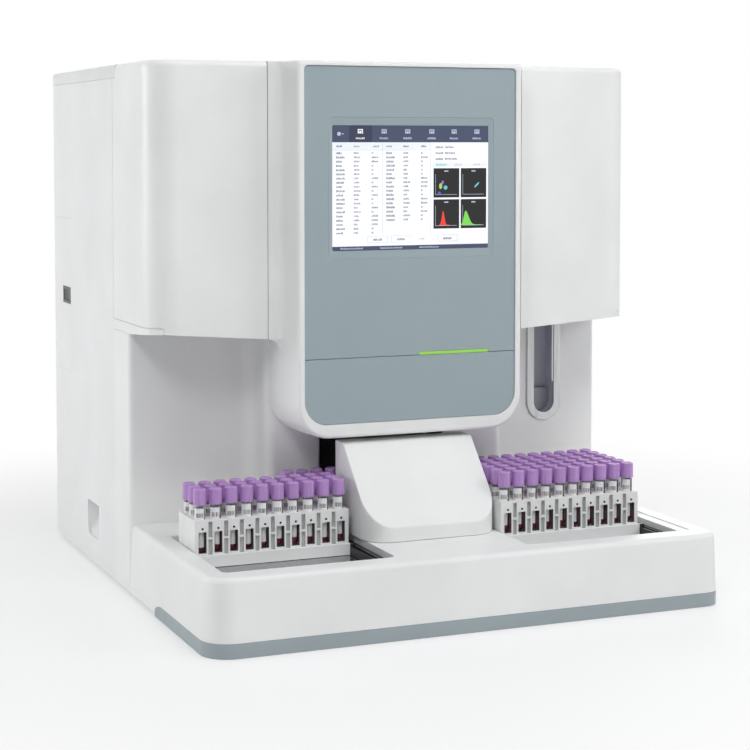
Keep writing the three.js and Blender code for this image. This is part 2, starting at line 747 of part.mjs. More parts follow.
// Sampler cover: a hollow wedge in front of the lane
const wedgeSetback = 2.5;
const wedgeDepth = 120.5;
const wedgeRidgeDepth = 28.5;
const wedgeBand = 19;
const wedgeDrop = 7.5;
const wedgeRadius = 35;
const wedgeRidgeRadius = 10;
const wedgeRearY = laneFrontY - wedgeSetback;
const wedgeFrontY = wedgeRearY - wedgeDepth;
const wedgeRidgeY = wedgeRearY - wedgeRidgeDepth;
const wedgeBandTop = trayLevel + wedgeBand;
const wedgeTop = chinLevel - wedgeDrop;
const wedgeFoot = trayLevel + seat;

function wedgeSolid(inset, footZ, rearY) {
  const profile = rounded([
    [rearY, footZ], [wedgeFrontY + inset, footZ], [wedgeFrontY + inset, wedgeBandTop],
    [wedgeRidgeY + inset, wedgeTop - inset, wedgeRidgeRadius], [rearY, wedgeTop - inset],
  ], fewSteps);
  const plan = rounded([
    [wedgeX[0] + inset, rearY], [wedgeX[0] + inset, wedgeFrontY + inset, wedgeRadius - inset],
    [wedgeX[1] - inset, wedgeFrontY + inset, wedgeRadius - inset], [wedgeX[1] - inset, rearY],
  ]);
  return prismX(profile, wedgeX[0] - overrun, wedgeX[1] + overrun)
    .intersect(prismZ(plan, footZ - overrun, wedgeTop + overrun));
}

place('sampler_cover', wedgeSolid(0, wedgeFoot, wedgeRearY)
  .subtract(wedgeSolid(skin, wedgeFoot - overrun, wedgeRearY + overrun)), 'white');

// Clearance for the column through the deck and the lid
const columnClear = join(
  block(columnX - columnHalf - seat * 2, columnX + columnHalf + seat * 2, beadY, blockY, chinLevel,
    top + overrun),
  block(columnX - flangeHalf - seat * 2, columnX + flangeHalf + seat * 2, beadY, coverY + flangeDepth + seat,
    chinLevel, top + overrun),
);

// Front covers: a door on the left and a fixed cover on the right, both bent round a corner
const coverRadius = 40;
const coverEdge = 8;
const coverLip = 12;
const coverStep = 20;
const coverSeam = 0.9;
const doorGap = 1.9;
const lidOverlap = 13;
const coverInnerEdge = flangeLevel;
const doorRearY = seamY - doorGap;
const lidFrontY = seamY - lidOverlap;
const coverInnerX = flangeHalf + coverSeam;
const coverFoot = deckTop + seat * 2;
const coverShoulder = lidLevel - seat * 2;

// The door turns on pins that stand on the deck and hang from the lid
const pinInset = 3.2;
const pinSetback = 2.4;
const pinRadius = 1.6;
const pinX = left + pinInset;
const pinY = doorRearY - pinSetback;

// Below its foot each cover ends at a cylinder about the pin, so that the door swings past the deck's edge
const swingSides = 96;
const swingSeamY = coverY + coverRadius - Math.sqrt(coverRadius ** 2 - (coverRadius - coverStep) ** 2);
const swingRadius = Math.hypot(left + coverStep - pinX, swingSeamY - pinY);
const swingBar = (side, radius, z0, z1) => barZ(-side * pinX, pinY, radius, z0, z1, swingSides);

function coverPlan(side, inset, innerX, rearY) {
  const outerX = side * (right - inset);
  const frontY = coverY + inset;
  return rounded([[outerX, rearY], [outerX, frontY, coverRadius - inset], [innerX, frontY], [innerX, rearY]]);
}

function coverShell(side, innerX, rearY) {
  const ring = (inset, z) => coverPlan(side, inset, innerX, rearY).map(([x, y]) => [x, y, z]);
  const rings = [ring(0, coverInnerEdge - coverStep)];
  for (let s = 0; s <= fewSteps; s += 1) {
    const angle = (Math.PI / 2) * (s / fewSteps);
    rings.push(ring(coverEdge * (1 - Math.cos(angle)), top - coverEdge * (1 - Math.sin(angle))));
  }
  const pastX = innerX - side * overrun;
  const outerX = side * right;
  const below = [
    [outerX + side * overrun, soffitFrontLevel],
    [outerX - side * coverStep, soffitFrontLevel],
    [pastX, coverInnerEdge],
    [pastX, coverInnerEdge - coverStep - overrun],
    [outerX + side * overrun, coverInnerEdge - coverStep - overrun],
  ];
  return cut(
    loft(rings, 2),
    prismZ(coverPlan(side, skin, pastX, rearY + overrun), coverInnerEdge - coverStep - overrun, top - skin),
    prismZ(coverPlan(side, coverLip, pastX, rearY + overrun), top - skin - overrun, top + overrun),
    prismY(below, coverY - overrun, rearY + overrun),
    swingBar(side, swingRadius + seat * 2, coverInnerEdge - coverStep, coverFoot),
    block(outerX + side * overrun, outerX - side * coverRadius, lidFrontY - doorGap / 2, seamY, coverShoulder,
      top + overrun),
  );
}

const pinBoss = 3;
const bossLength = 12;
const pinLength = 10;
const pinSides = 24;
const doorBosses = [
  barZ(pinX, pinY, pinBoss, coverFoot, coverFoot + bossLength, pinSides),
  barZ(pinX, pinY, pinBoss, coverShoulder - bossLength, coverShoulder, pinSides),
];
const doorBores = [
  barZ(pinX, pinY, pinRadius + seat, coverFoot - overrun, coverFoot + pinLength + seat, pinSides),
  barZ(pinX, pinY, pinRadius + seat, coverShoulder - pinLength - seat, coverShoulder + overrun, pinSides),
];
place('left_door', cut(join(coverShell(-1, columnX - coverInnerX, doorRearY), doorBosses), doorBores),
  'white');
place('right_front_cover', coverShell(1, columnX + coverInnerX, seamY - seat), 'white');

// Side panels, each with a moulded grip for lifting
const gripFromSeam = 91;
const gripWidth = 64;
const gripLevel = 40;
const gripHeight = 50;
const gripDepth = 22;
const gripRise = 26;
const gripTaper = 4;
const gripRadius = 14;

function gripRing(side, depth, rise, taper, grow) {
  const y0 = seamY + gripFromSeam + taper - grow;
  const y1 = seamY + gripFromSeam + gripWidth - taper + grow;
  const z0 = gripLevel + rise - grow;
  const z1 = gripLevel + gripHeight + grow;
  const radius = gripRadius - rise / 4 + grow;
  const outline = rounded([[y0, z0, radius], [y1, z0, radius], [y1, z1], [y0, z1]], fewSteps);
  return outline.map(([y, z]) => [side * (right - depth), y, z]);
}

function gripPocket(side, mouth, grow) {
  return loft([
    gripRing(side, mouth, 0, 0, grow),
    gripRing(side, skin, 0, 0, grow),
    gripRing(side, gripDepth + grow, gripRise, gripTaper, grow),
  ], 0);
}

function sidePanel(side) {
  const sheet = block(side * right, side * (right - skin), seamY, back, skirtLevel, lidLevel - seat);
  return join(sheet, gripPocket(side, bite, skin)).subtract(gripPocket(side, -overrun, 0));
}

// Service panel at the rear of the left side, with the mains switch
const serviceWidth = 109.5;
const serviceDrop = 87;
const serviceRise = 140;
const switchBackset = 77;
const switchRise = 25.5;
const bezelRim = [6.5, 4.5];
const bezelDepth = 14;
const rockerWidth = 36;
const rockerHeight = 16;
const rockerDepth = 9;
const rockerGap = 1;
const rockerSink = 2;
const rockerFlare = 1.5;
const pivotRadius = 1.5;
const pivotLength = 2.4;
const pivotSides = 16;
const bezelWidth = rockerWidth + bezelRim[0] * 2;
const bezelHeight = rockerHeight + bezelRim[1] * 2;
const serviceLevel = [deckLevel - serviceDrop, deckLevel + serviceRise];
const serviceY = back - serviceWidth;
const switchLevel = deckLevel + switchRise;
const switchY = back - switchBackset;

function aroundSwitch(x0, x1, width, height) {
  const y = width / 2;
  const z = height / 2;
  return block(x0, x1, switchY - y, switchY + y, switchLevel - z, switchLevel + z);
}

const serviceCut = block(left - overrun, left + skin + overrun, serviceY, rearFace, ...serviceLevel);
const servicePanel = block(left, left + skin, serviceY + seat, rearFace - seat, serviceLevel[0] + seat,
  serviceLevel[1] - seat)
  .subtract(aroundSwitch(left - overrun, left + skin + overrun, bezelWidth, bezelHeight));
const rockerX = left + rockerSink;
const pivot = (grow) => {
  const reach = rockerHeight / 2 + pivotLength + grow;
  return barZ(rockerX + rockerDepth / 2, switchY, pivotRadius + grow, switchLevel - reach,
    switchLevel + reach, pivotSides);
};
const switchBezel = cut(
  aroundSwitch(left, left + bezelDepth, bezelWidth - seat * 2, bezelHeight - seat * 2),
  aroundSwitch(left - overrun, left + bezelDepth - skin, rockerWidth + rockerGap * 2,
    rockerHeight + seat * 2),
  pivot(seat),
);
const rockerOutline = [
  [rockerX - rockerFlare, switchY - rockerWidth / 2], [rockerX, switchY],
  [rockerX - rockerFlare, switchY + rockerWidth / 2], [rockerX + rockerDepth / 2, switchY + rockerWidth / 2],
  [rockerX + rockerDepth - seat, switchY], [rockerX + rockerDepth / 2, switchY - rockerWidth / 2],
];
place('left_side_panel', sidePanel(-1).subtract(serviceCut), 'white');
place('right_side_panel', sidePanel(1), 'white');
place('service_panel', servicePanel, 'white');
place('switch_bezel', switchBezel, 'darkGrey');
const rocker = prismZ(rockerOutline, switchLevel - rockerHeight / 2, switchLevel + rockerHeight / 2);
place('mains_switch', join(rocker, pivot(0)), 'black');

// Deck: the floor of the upper body, whose underside is the soffit over the open wall
const soffitRearY = wallY + skin + trayWall;
const deckPlate = join(
  ...[-1, 1].map((side) => prismZ(coverPlan(side, skin + seat, 0, seamY - seat), deckLevel, deckTop)),
  ...[-1, 1].map((side) => prismZ(coverPlan(side, 0, 0, seamY - seat), deckLevel, deckTop)
    .intersect(swingBar(side, swingRadius, deckLevel - overrun, deckTop + overrun))),
  block(-baseX, baseX, wallY, rearSheet - seat, deckLevel, deckTop),
);
const underSoffit = prismX([
  [wallY, deckLevel], [coverY, soffitFrontLevel], [coverY - overrun, soffitFrontLevel],
  [coverY - overrun, deckLevel - overrun], [wallY, deckLevel - overrun],
], left - overrun, right + overrun);
const deck = cut(
  deckPlate,
  columnClear,
  underSoffit,
  block(-baseX + skin, baseX - skin, soffitRearY, rearSheet - skin, deckLevel - overrun, deckTop - skin),
  barZ(vialX, probeY, probeRadius + seat, deckLevel - overrun, deckTop + overrun, probeSides),
  aroundSwitch(left, left + bezelDepth + seat * 2, bezelWidth + seat, bezelHeight + seat),
);
place('deck', join(deck, barZ(pinX, pinY, pinRadius, deckTop - bite, coverFoot + pinLength, pinSides)),
  'white');

// Lid: a shell over the body, with a tongue that fills the space between the lips of the covers
const lidEdge = 5;
const tongueThickness = 6;
const tongueX = right - coverLip - seat * 2;
const tongueFrontY = coverY + coverLip + seat * 2;
const tongueRadius = coverRadius - coverLip - seat * 2;
const tonguePlan = rounded([
  [-tongueX, lidFrontY + skin], [-tongueX, tongueFrontY, tongueRadius], [tongueX, tongueFrontY, tongueRadius],
  [tongueX, lidFrontY + skin],
]);
const lidPlan = (inset, z) => [
  [left + inset, lidFrontY, z], [right - inset, lidFrontY, z], [right - inset, back - inset, z],
  [left + inset, back - inset, z],
];
const lidRings = [lidPlan(0, lidLevel), lidPlan(0, top - lidEdge), lidPlan(lidEdge / 4, top - lidEdge / 4),
  lidPlan(lidEdge, top)];
const lid = join(
  cut(loft(lidRings, 2), block(left + skin, right - skin, lidFrontY + skin, back - skin,
    lidLevel - overrun, top - skin)),
  prismZ(tonguePlan, top - tongueThickness, top).subtract(columnClear),
  block(left + bite, left + coverLip, lidFrontY + bite, lidFrontY + coverLip * 2, lidLevel,
    top - skin + bite),
  barZ(pinX, pinY, pinRadius, coverShoulder - pinLength, lidLevel + bite, pinSides),
);
place('top_lid', lid, 'white');

// Rear panel with louvres, fan opening, mains inlet and fluid fittings
const ventRows = 6;
const ventWidth = 120;
const ventHeight = 6;
const ventPitch = 15;
const ventGap = 40;
const ventDrop = 146;
const fanMargin = 159.5;
const fanRise = 182;
const fanRadius = 44;
const fanSides = 16;
const fanThickness = 25;
const inletMargin = 99.5;
const inletRise = 52;
const inletWidth = 50;
const inletHeight = 30;
const inletSocketWidth = 27;
const inletSocketHeight = 19;
const inletDepth = 24;
const inletSocketDepth = 16;
const inletRim = 2;
const fittingMargin = 199.5;
const fittingRise = 132;
const fittingPitch = 30;
const fittingCount = 4;
const fittingRadius = 5;
const fittingSides = 8;
const ventLevel = top - ventDrop;
const fanX = right - fanMargin;
const fanLevel = baseTop + fanRise;
const inletX = left + inletMargin;
const inletLevel = baseTop + inletRise;
const fittingX = left + fittingMargin;
const fittingLevel = baseTop + fittingRise;

function aroundInlet(y0, y1, width, height) {
  return block(inletX - width / 2, inletX + width / 2, y0, y1, inletLevel - height / 2,
    inletLevel + height / 2);
}

const rearCuts = [
  barY(fanX, fanLevel, fanRadius, rearSheet - overrun, rearFace + overrun, fanSides),
  aroundInlet(rearSheet - overrun, rearFace + overrun, inletWidth - inletRim * 2, inletHeight - inletRim * 2),
];
for (let row = 0; row < ventRows; row += 1) {
  for (const side of [-1, 1]) {
    const x = (side * (ventWidth + ventGap)) / 2;
    const z = ventLevel + row * ventPitch;
    rearCuts.push(block(x - ventWidth / 2, x + ventWidth / 2, rearSheet - overrun, rearFace + overrun, z,
      z + ventHeight));
  }
}
place('rear_panel', cut(block(-baseX, baseX, rearSheet, rearFace, skirtLevel, lidLevel - seat), rearCuts),
  'white');

const grilleBars = 4;
const grilleThickness = 2;
const grilleHalf = fanRadius + grilleBars;
const grillePitch = (2 * fanRadius) / grilleBars;
const grilleGapShare = 0.6;
const grilleGaps = [];
for (let bar = 0; bar < grilleBars; bar += 1) {
  const z = fanLevel - fanRadius + (bar + (1 - grilleGapShare) / 2) * grillePitch;
  grilleGaps.push(block(fanX - fanRadius + ventHeight, fanX + fanRadius - ventHeight, rearFace - overrun,
    rearFace + grilleThickness * 2, z, z + grillePitch * grilleGapShare));
}
place('fan_grille', cut(
  block(fanX - grilleHalf, fanX + grilleHalf, rearFace + seat, rearFace + seat + grilleThickness,
    fanLevel - grilleHalf, fanLevel + grilleHalf),
  grilleGaps,
), 'darkGrey');
const fanRearY = rearSheet - seat;
place('cooling_fan', cut(
  block(fanX - grilleHalf, fanX + grilleHalf, fanRearY - fanThickness, fanRearY, fanLevel - grilleHalf,
    fanLevel + grilleHalf),
  barY(fanX, fanLevel, fanRadius, fanRearY - fanThickness - overrun, fanRearY + overrun, fanSides),
), 'black');
place('mains_inlet', cut(
  join(
    aroundInlet(rearFace + seat, rearFace + seat + inletRim, inletWidth, inletHeight),
    aroundInlet(rearFace + seat + bite - inletDepth, rearFace + seat + bite,
      inletWidth - (inletRim + seat) * 2, inletHeight - (inletRim + seat) * 2),
  ),
  aroundInlet(rearFace - inletSocketDepth, rearFace + overrun * 2, inletSocketWidth, inletSocketHeight),
), 'black');

const fittingPlate = block(fittingX - fittingPitch / 2, fittingX + (fittingCount - 1 / 2) * fittingPitch,
  rearFace + seat, rearFace + skin, fittingLevel - fittingPitch / 2, fittingLevel + fittingPitch / 2);
const fittingNipples = [];
for (let port = 0; port < fittingCount; port += 1) {
  fittingNipples.push(barY(fittingX + port * fittingPitch, fittingLevel, fittingRadius,
    rearFace + skin - bite, back - seat, fittingSides));
}
place('fluid_fittings', join(fittingPlate, fittingNipples), 'darkGrey');

// Bulkhead behind the front compartments
place('bulkhead', block(-baseX, baseX, bulkheadY, bulkheadY + skin, deckTop + seat, lidLevel - seat),
  'steel');

// Reagent compartment behind the door: a shelf with bottles, and the syringe unit above
const shelfMargin = 27.5;
const shelfDepth = 58;
const shelfLip = 18;
const shelfSheet = 2;
const shelfBack = 28;
const bottleRadius = 17;
const bottleGap = 5;
const bottleHeight = 92;
const bottleNeck = 9;
const bottleShoulder = 12;
const bottleCap = 14;
const bottleSides = 12;
const bottlePitch = bottleRadius * 2 + bottleGap;
const bottleCount = Math.floor((columnX - coverInnerX - left - shelfMargin) / bottlePitch);
const shelfX = [left + shelfMargin, left + shelfMargin + bottleCount * bottlePitch];
const shelfRearY = bulkheadY - seat;
const shelfFrontY = shelfRearY - shelfDepth;
const shelfFoot = deckTop + seat;
const shelfProfile = [
  [shelfFrontY, shelfFoot], [shelfRearY, shelfFoot], [shelfRearY, shelfFoot + shelfBack],
  [shelfRearY - shelfSheet, shelfFoot + shelfBack], [shelfRearY - shelfSheet, shelfFoot + shelfSheet],
  [shelfFrontY + shelfSheet, shelfFoot + shelfSheet], [shelfFrontY + shelfSheet, shelfFoot + shelfLip],
  [shelfFrontY, shelfFoot + shelfLip],
];
place('reagent_shelf', prismX(shelfProfile, ...shelfX), 'steel');
for (let i = 0; i < bottleCount; i += 1) {
  const z0 = shelfFoot + shelfSheet + seat;
  const z1 = z0 + bottleHeight;
  place(`reagent_bottle_${i + 1}`, turnedZ([
    [0, z0], [bottleRadius, z0], [bottleRadius, z1 - bottleShoulder], [bottleNeck, z1],
    [bottleNeck, z1 + bottleCap], [0, z1 + bottleCap],
  ], shelfX[0] + bottlePitch * (i + 1 / 2), shelfFrontY + shelfSheet + seat + bottleRadius, bottleSides),
  'amber');
}
const syringeRadius = 8;
const syringeDrop = 168;
const syringeLength = 110;
const syringeBlock = 24;
const syringeDepth = 20;
const syringeLevel = lidLevel - syringeDrop;
const syringeParts = [];
for (const z of [syringeLevel, syringeLevel + syringeLength - syringeBlock]) {
  syringeParts.push(block(...shelfX, shelfRearY - syringeDepth, shelfRearY, z, z + syringeBlock));
}
syringeParts.push(block(...shelfX, shelfRearY - shelfSheet, shelfRearY, syringeLevel,
  syringeLevel + syringeLength));
for (let i = 0; i < bottleCount; i += 1) {
  syringeParts.push(barZ(shelfX[0] + bottlePitch * (i + 1 / 2), shelfRearY - syringeDepth / 2, syringeRadius,
    syringeLevel + bite, syringeLevel + syringeLength - bite, postSides));
}
place('syringe_unit', join(syringeParts), 'steel');

// Units inside the closed body
const benchSize = [260, 200, 120];
const supplySize = [130, 150, 100];
const pumpRadius = 55;
const pumpLength = 170;
const unitMargin = 24;
const benchX = right - skin - unitMargin - benchSize[0];
place('optical_bench', block(benchX, benchX + benchSize[0], bulkheadY + skin + seat,
  bulkheadY + skin + seat + benchSize[1], deckTop + seat, deckTop + seat + benchSize[2]), 'darkGrey');
const supplyX = left + gripDepth + skin + overrun;
const supplyRearY = rearFace - inletDepth - unitMargin;
place('power_supply', block(supplyX, supplyX + supplySize[0], supplyRearY - supplySize[1], supplyRearY,
  baseTop + seat, baseTop + seat + supplySize[2]), 'steel');
const pumpY = wallY + blockReach * 2;
const pumpTop = baseTop + seat + pumpLength;
place('air_pump', join(
  barZ(fanX, pumpY, pumpRadius, baseTop + seat + skin, pumpTop, fanSides),
  block(fanX - pumpRadius, fanX + pumpRadius, pumpY - pumpRadius, pumpY + pumpRadius, baseTop + seat,
    baseTop + seat + skin + bite),
), 'darkGrey');

export default analyzer;
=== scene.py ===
"""Looks of a bench hematology analyzer: finishes, moulded shells, racks of tubes and the screen.

Sizes are in millimetres and become metres in the meshes. X runs right, Y to the back and Z up.
"""
import math
import random

import bmesh
import bpy
from mathutils import Matrix, Vector


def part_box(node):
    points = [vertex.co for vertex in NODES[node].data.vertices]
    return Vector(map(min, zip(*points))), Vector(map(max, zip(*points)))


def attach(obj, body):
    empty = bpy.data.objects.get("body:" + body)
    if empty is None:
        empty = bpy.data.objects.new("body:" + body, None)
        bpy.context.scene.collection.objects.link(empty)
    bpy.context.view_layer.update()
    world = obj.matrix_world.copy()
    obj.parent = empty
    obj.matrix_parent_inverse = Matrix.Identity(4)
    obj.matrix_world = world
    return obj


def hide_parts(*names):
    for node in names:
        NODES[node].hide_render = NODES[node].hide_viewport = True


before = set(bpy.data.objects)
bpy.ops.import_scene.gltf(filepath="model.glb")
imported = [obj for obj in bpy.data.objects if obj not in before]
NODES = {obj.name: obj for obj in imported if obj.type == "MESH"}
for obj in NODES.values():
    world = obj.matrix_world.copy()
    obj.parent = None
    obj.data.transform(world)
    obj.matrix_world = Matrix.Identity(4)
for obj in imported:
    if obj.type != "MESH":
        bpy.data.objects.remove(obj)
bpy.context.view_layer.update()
MM = 0.001
SKIN = 3.0
SEAT = 0.3
OVERRUN = 2.0
HAIR = 0.01
FINE = 24
COARSE = 8
MERGE_DISTANCE = 1e-7


def box(node):
    """Low and high corners of a CAD node in millimetres."""
    low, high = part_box(node)
    return low / MM, high / MM


# Materials

NOISE_LOW, NOISE_HIGH = 0.3, 0.7
SMEAR_SCALE = 60.0
GLOSS_SPREAD = 0.05
GRAIN_DEPTH = 0.0002
COAT_ROUGHNESS = 0.2
LINE_TONES = (0.88, 1.1)
LINE_GLOSS = (-0.08, 0.1)
LINE_STRENGTH = 0.15
LINE_DEPTH = 0.0001
STREAK_SCALE = 120.0
GLASS_IOR = 1.3
CLOUD_SCALE = 25.0
LIT_ROUGHNESS = 0.25


class Tree:
    """The node tree of a material or world, with the few nodes that its finish is made of."""

    def __init__(self, owner):
        owner.use_nodes = True
        self.nodes = owner.node_tree.nodes
        self.links = owner.node_tree.links

    def feed(self, node, inputs):
        """Sets a node's inputs, by a link where the value is another node's output."""
        for name, value in inputs.items():
            if isinstance(value, bpy.types.NodeSocket):
                self.links.new(value, node.inputs[name])
            else:
                node.inputs[name].default_value = value

    def node(self, kind, output, inputs, operation=None):
        node = self.nodes.new("ShaderNode" + kind)
        if operation:
            node.operation = operation
        self.feed(node, inputs)
        return node.outputs[output]

    def mapped(self, scale=(1, 1, 1)):
        """Object coordinates stretched by scale, per metre."""
        place = self.node("TexCoord", "Object", {})
        return self.node("Mapping", "Vector", {"Vector": place, "Scale": scale})

    def noise(self, vector, scale, detail=3.0):
        return self.node("TexNoise", "Fac", {"Vector": vector, "Scale": scale, "Detail": detail})

    def spread(self, value, low, high):
        """Maps the middle of a noise to a range."""
        return self.node("MapRange", "Result", {"Value": value, "From Min": NOISE_LOW, "From Max": NOISE_HIGH,
                                                "To Min": low, "To Max": high})

    def tinted(self, value, dark, light):
        ramp = self.nodes.new("ShaderNodeValToRGB")
        for element, position, color in zip(ramp.color_ramp.elements, (NOISE_LOW, NOISE_HIGH), (dark, light)):
            element.position = position
            element.color = (*color, 1)
        self.links.new(value, ramp.inputs["Fac"])
        return ramp.outputs["Color"]

    def bumped(self, value, strength, distance):
        return self.node("Bump", "Normal", {"Height": value, "Strength": strength, "Distance": distance})


def shader(name):
    material = bpy.data.materials.new(name)
    tree = Tree(material)
    return material, tree, tree.nodes["Principled BSDF"]


def scaled(color, factor):
    return tuple(min(1.0, c * factor) for c in color)


def moulded(name, color, roughness, grain=1800.0, strength=0.12, mottle=0.03, coat=0.0, stretch=(9, 9, 9),
            specular=0.5):
    """Moulded or painted skin: a fine grain, faint clouds of tone and uneven gloss."""
    material, tree, bsdf = shader(name)
    vector = tree.mapped()
    clouds = tree.noise(tree.mapped(stretch), 1.0)
    smears = tree.noise(vector, SMEAR_SCALE)
    tree.feed(bsdf, {
        "Base Color": tree.tinted(clouds, scaled(color, 1 - mottle), scaled(color, 1 + mottle)),
        "Roughness": tree.spread(smears, roughness - GLOSS_SPREAD, roughness + GLOSS_SPREAD),
        "Normal": tree.bumped(tree.noise(vector, grain, 2.0), strength, GRAIN_DEPTH),
        "Specular IOR Level": specular, "Coat Weight": coat, "Coat Roughness": COAT_ROUGHNESS,
    })
    return material


def brushed(name, color, roughness, stretch=(8, 900, 900)):
    """Metal with fine drawn lines along one axis."""
    material, tree, bsdf = shader(name)
    lines = tree.noise(tree.mapped(stretch), 1.0, 6.0)
    tree.feed(bsdf, {
        "Base Color": tree.tinted(lines, *(scaled(color, factor) for factor in LINE_TONES)),
        "Roughness": tree.spread(lines, *(roughness + change for change in LINE_GLOSS)),
        "Normal": tree.bumped(lines, LINE_STRENGTH, LINE_DEPTH), "Metallic": 1.0,
    })
    return material


def clear(name, color, roughness=0.03):
    """Glass with faint streaks."""
    material, tree, bsdf = shader(name)
    streaks = tree.noise(tree.mapped(), STREAK_SCALE)
    tree.feed(bsdf, {
        "Base Color": tree.tinted(streaks, scaled(color, 0.97), color),
        "Roughness": tree.spread(streaks, roughness, roughness + GLOSS_SPREAD),
        "Transmission Weight": 1.0, "IOR": GLASS_IOR,
    })
    return material


def lit(name, color, strength, mottle=0.03):
    """A lit surface behind a smooth front, for the display and the status light."""
    material, tree, bsdf = shader(name)
    clouds = tree.noise(tree.mapped(), CLOUD_SCALE)
    tree.feed(bsdf, {
        "Emission Color": tree.tinted(clouds, scaled(color, 1 - mottle), scaled(color, 1 + mottle)),
        "Emission Strength": strength,
        "Base Color": tree.tinted(clouds, scaled(color, 0.25), scaled(color, 0.3)),
        "Roughness": LIT_ROUGHNESS,
    })
    return material


WHITE = moulded("white_plastic", (0.86, 0.865, 0.86), 0.42)
LID = moulded("lid_white", (0.85, 0.855, 0.85), 0.7, specular=0.15)
PAINT = moulded("white_paint", (0.84, 0.845, 0.845), 0.45, grain=900.0, strength=0.2)
BLUE = moulded("blue_panel", (0.335, 0.412, 0.443), 0.38, mottle=0.02)
GREY = moulded("plinth_grey", (0.33, 0.385, 0.41), 0.45)
DARK = moulded("dark_grey", (0.09, 0.095, 0.1), 0.5)
# Painted shade: a grey for the deck's downward faces, which darkens the shadow under the covers
UNDERSIDE_PAINTED_SHADE = moulded("underside_painted_shade", (0.30, 0.305, 0.31), 0.5)
KEY_GREY = moulded("key_grey", (0.34, 0.35, 0.385), 0.45)
BLACK = moulded("black_plastic", (0.012, 0.012, 0.014), 0.4)
RACK = moulded("rack_plastic", (0.84, 0.845, 0.84), 0.45, grain=2600.0)
# Painted shade: a darker grey on the pocket walls between the tubes, for the shade inside them
RACK_POCKET_PAINTED_SHADE = moulded("rack_pocket_painted_shade", (0.60, 0.61, 0.60), 0.5)
# Painted shade: near black on the window jambs of the racks, for the dark inside them
RACK_WINDOW_PAINTED_SHADE = moulded("rack_window_painted_shade", (0.10, 0.095, 0.10), 0.6)
RECESS = moulded("recess_grey", (0.50, 0.515, 0.57), 0.45)
CAP = moulded("cap_plastic", (0.47, 0.265, 0.60), 0.38, grain=3000.0, mottle=0.14, coat=0.15,
              stretch=(420, 420, 6))
LABEL = moulded("label_paper", (0.86, 0.86, 0.86), 0.6, grain=4000.0)
INK = moulded("label_ink", (0.05, 0.05, 0.06), 0.6)
BLOOD = moulded("blood", (0.14, 0.007, 0.014), 0.25, mottle=0.1, coat=0.3)
RUBBER = moulded("rubber", (0.02, 0.02, 0.022), 0.75, grain=1200.0, strength=0.4)
AMBER = moulded("amber_plastic", (0.22, 0.085, 0.02), 0.2, coat=0.5)
STEEL = brushed("steel_sheet", (0.50, 0.51, 0.52), 0.3)
FLOOR_STEEL = brushed("bay_steel", (0.36, 0.37, 0.38), 0.22, stretch=(1200, 6, 900))
RING_STEEL = brushed("ring_steel", (0.50, 0.51, 0.52), 0.34, stretch=(300, 300, 12))
GLASS = clear("tube_glass", (0.93, 0.95, 0.96))


# Geometry

def rounded(corners, steps=FINE):
    """Points of an outline whose (u, v, radius) corners are turned into arcs."""
    points = []
    for i, corner in enumerate(corners):
        here = Vector(corner[:2])
        radius = corner[2] if len(corner) > 2 else 0
        if radius <= 0:
            points.append(tuple(here))
            continue
        to_before = (Vector(corners[i - 1][:2]) - here).normalized()
        to_after = (Vector(corners[(i + 1) % len(corners)][:2]) - here).normalized()
        half = math.acos(max(-1.0, min(1.0, to_before.dot(to_after)))) / 2
        centre = here + (to_before + to_after).normalized() * (radius / math.sin(half))
        start = here + to_before * (radius / math.tan(half)) - centre
        end = here + to_after * (radius / math.tan(half)) - centre
        turn = math.atan2(start.x * end.y - start.y * end.x, start.dot(end))
        for s in range(steps + 1):
            angle = turn * s / steps
            points.append(tuple(centre + Matrix.Rotation(angle, 2) @ start))
    return points


def mirrored(middle, corners):
    """Both halves of an outline, from its left corners given by their distance to the middle."""
    left = [(middle - across, *rest) for across, *rest in corners]
    right = [(middle + across, *rest) for across, *rest in reversed(corners)]
    return left + right


def quarter(steps=COARSE):
    """Sine and cosine along a quarter turn."""
    angles = [math.pi / 2 * s / steps for s in range(steps + 1)]
    return [(math.sin(angle), math.cos(angle)) for angle in angles]


def placed(name, data):
    item = bpy.data.objects.new(name, data)
    bpy.context.scene.collection.objects.link(item)
    return item


def make(name, points, faces, material):
    """A mesh object from millimetre points, with its faces turned outwards."""
    mesh = bpy.data.meshes.new(name)
    mesh.from_pydata([(x * MM, y * MM, z * MM) for x, y, z in points], [], faces)
    shape = bmesh.new()
    shape.from_mesh(mesh)
    bmesh.ops.remove_doubles(shape, verts=shape.verts, dist=MERGE_DISTANCE)
    bmesh.ops.recalc_face_normals(shape, faces=shape.faces)
    shape.to_mesh(mesh)
    shape.free()
    mesh.materials.append(material)
    return placed(name, mesh)


def loft(name, rings, material, hollow=False):
    """A body through rings of equal length, closed by its end rings or, if hollow, bent back on itself."""
    size = len(rings[0])
    starts = [r * size for r in range(len(rings))]
    pairs = list(zip(starts, starts[1:]))
    faces = []
    if hollow:
        pairs.append((starts[-1], 0))
    else:
        faces = [list(range(start, start + size)) for start in (0, starts[-1])]
    for a, b in pairs:
        for i in range(size):
            j = (i + 1) % size
            faces.append([a + i, a + j, b + j, b + i])
    return make(name, [point for ring in rings for point in ring], faces, material)


def crowned(name, plan, foot, top, edge, draft=0):
    """A body that rises from a plan, which takes an inset, and rounds over at its top."""
    rings = [[(x, y, foot) for x, y in plan(0)]]
    for sine, cosine in quarter():
        rings.append([(x, y, top - edge * (1 - sine)) for x, y in plan(draft + edge * (1 - cosine))])
    return loft(name, rings, WHITE)


PLACE = {
    "x": lambda u, v, w: (w, u, v),
    "y": lambda u, v, w: (u, w, v),
    "z": lambda u, v, w: (u, v, w),
}


def prism(name, outline, axis, low, high, material=WHITE):
    """An outline drawn along an axis."""
    at = PLACE[axis]
    return loft(name, [[at(u, v, w) for u, v in outline] for w in (low, high)], material)


def block(name, low, high, material=WHITE):
    """A box between two corners."""
    outline = [(low[0], low[1]), (high[0], low[1]), (high[0], high[1]), (low[0], high[1])]
    return prism(name, outline, "z", low[2], high[2], material)


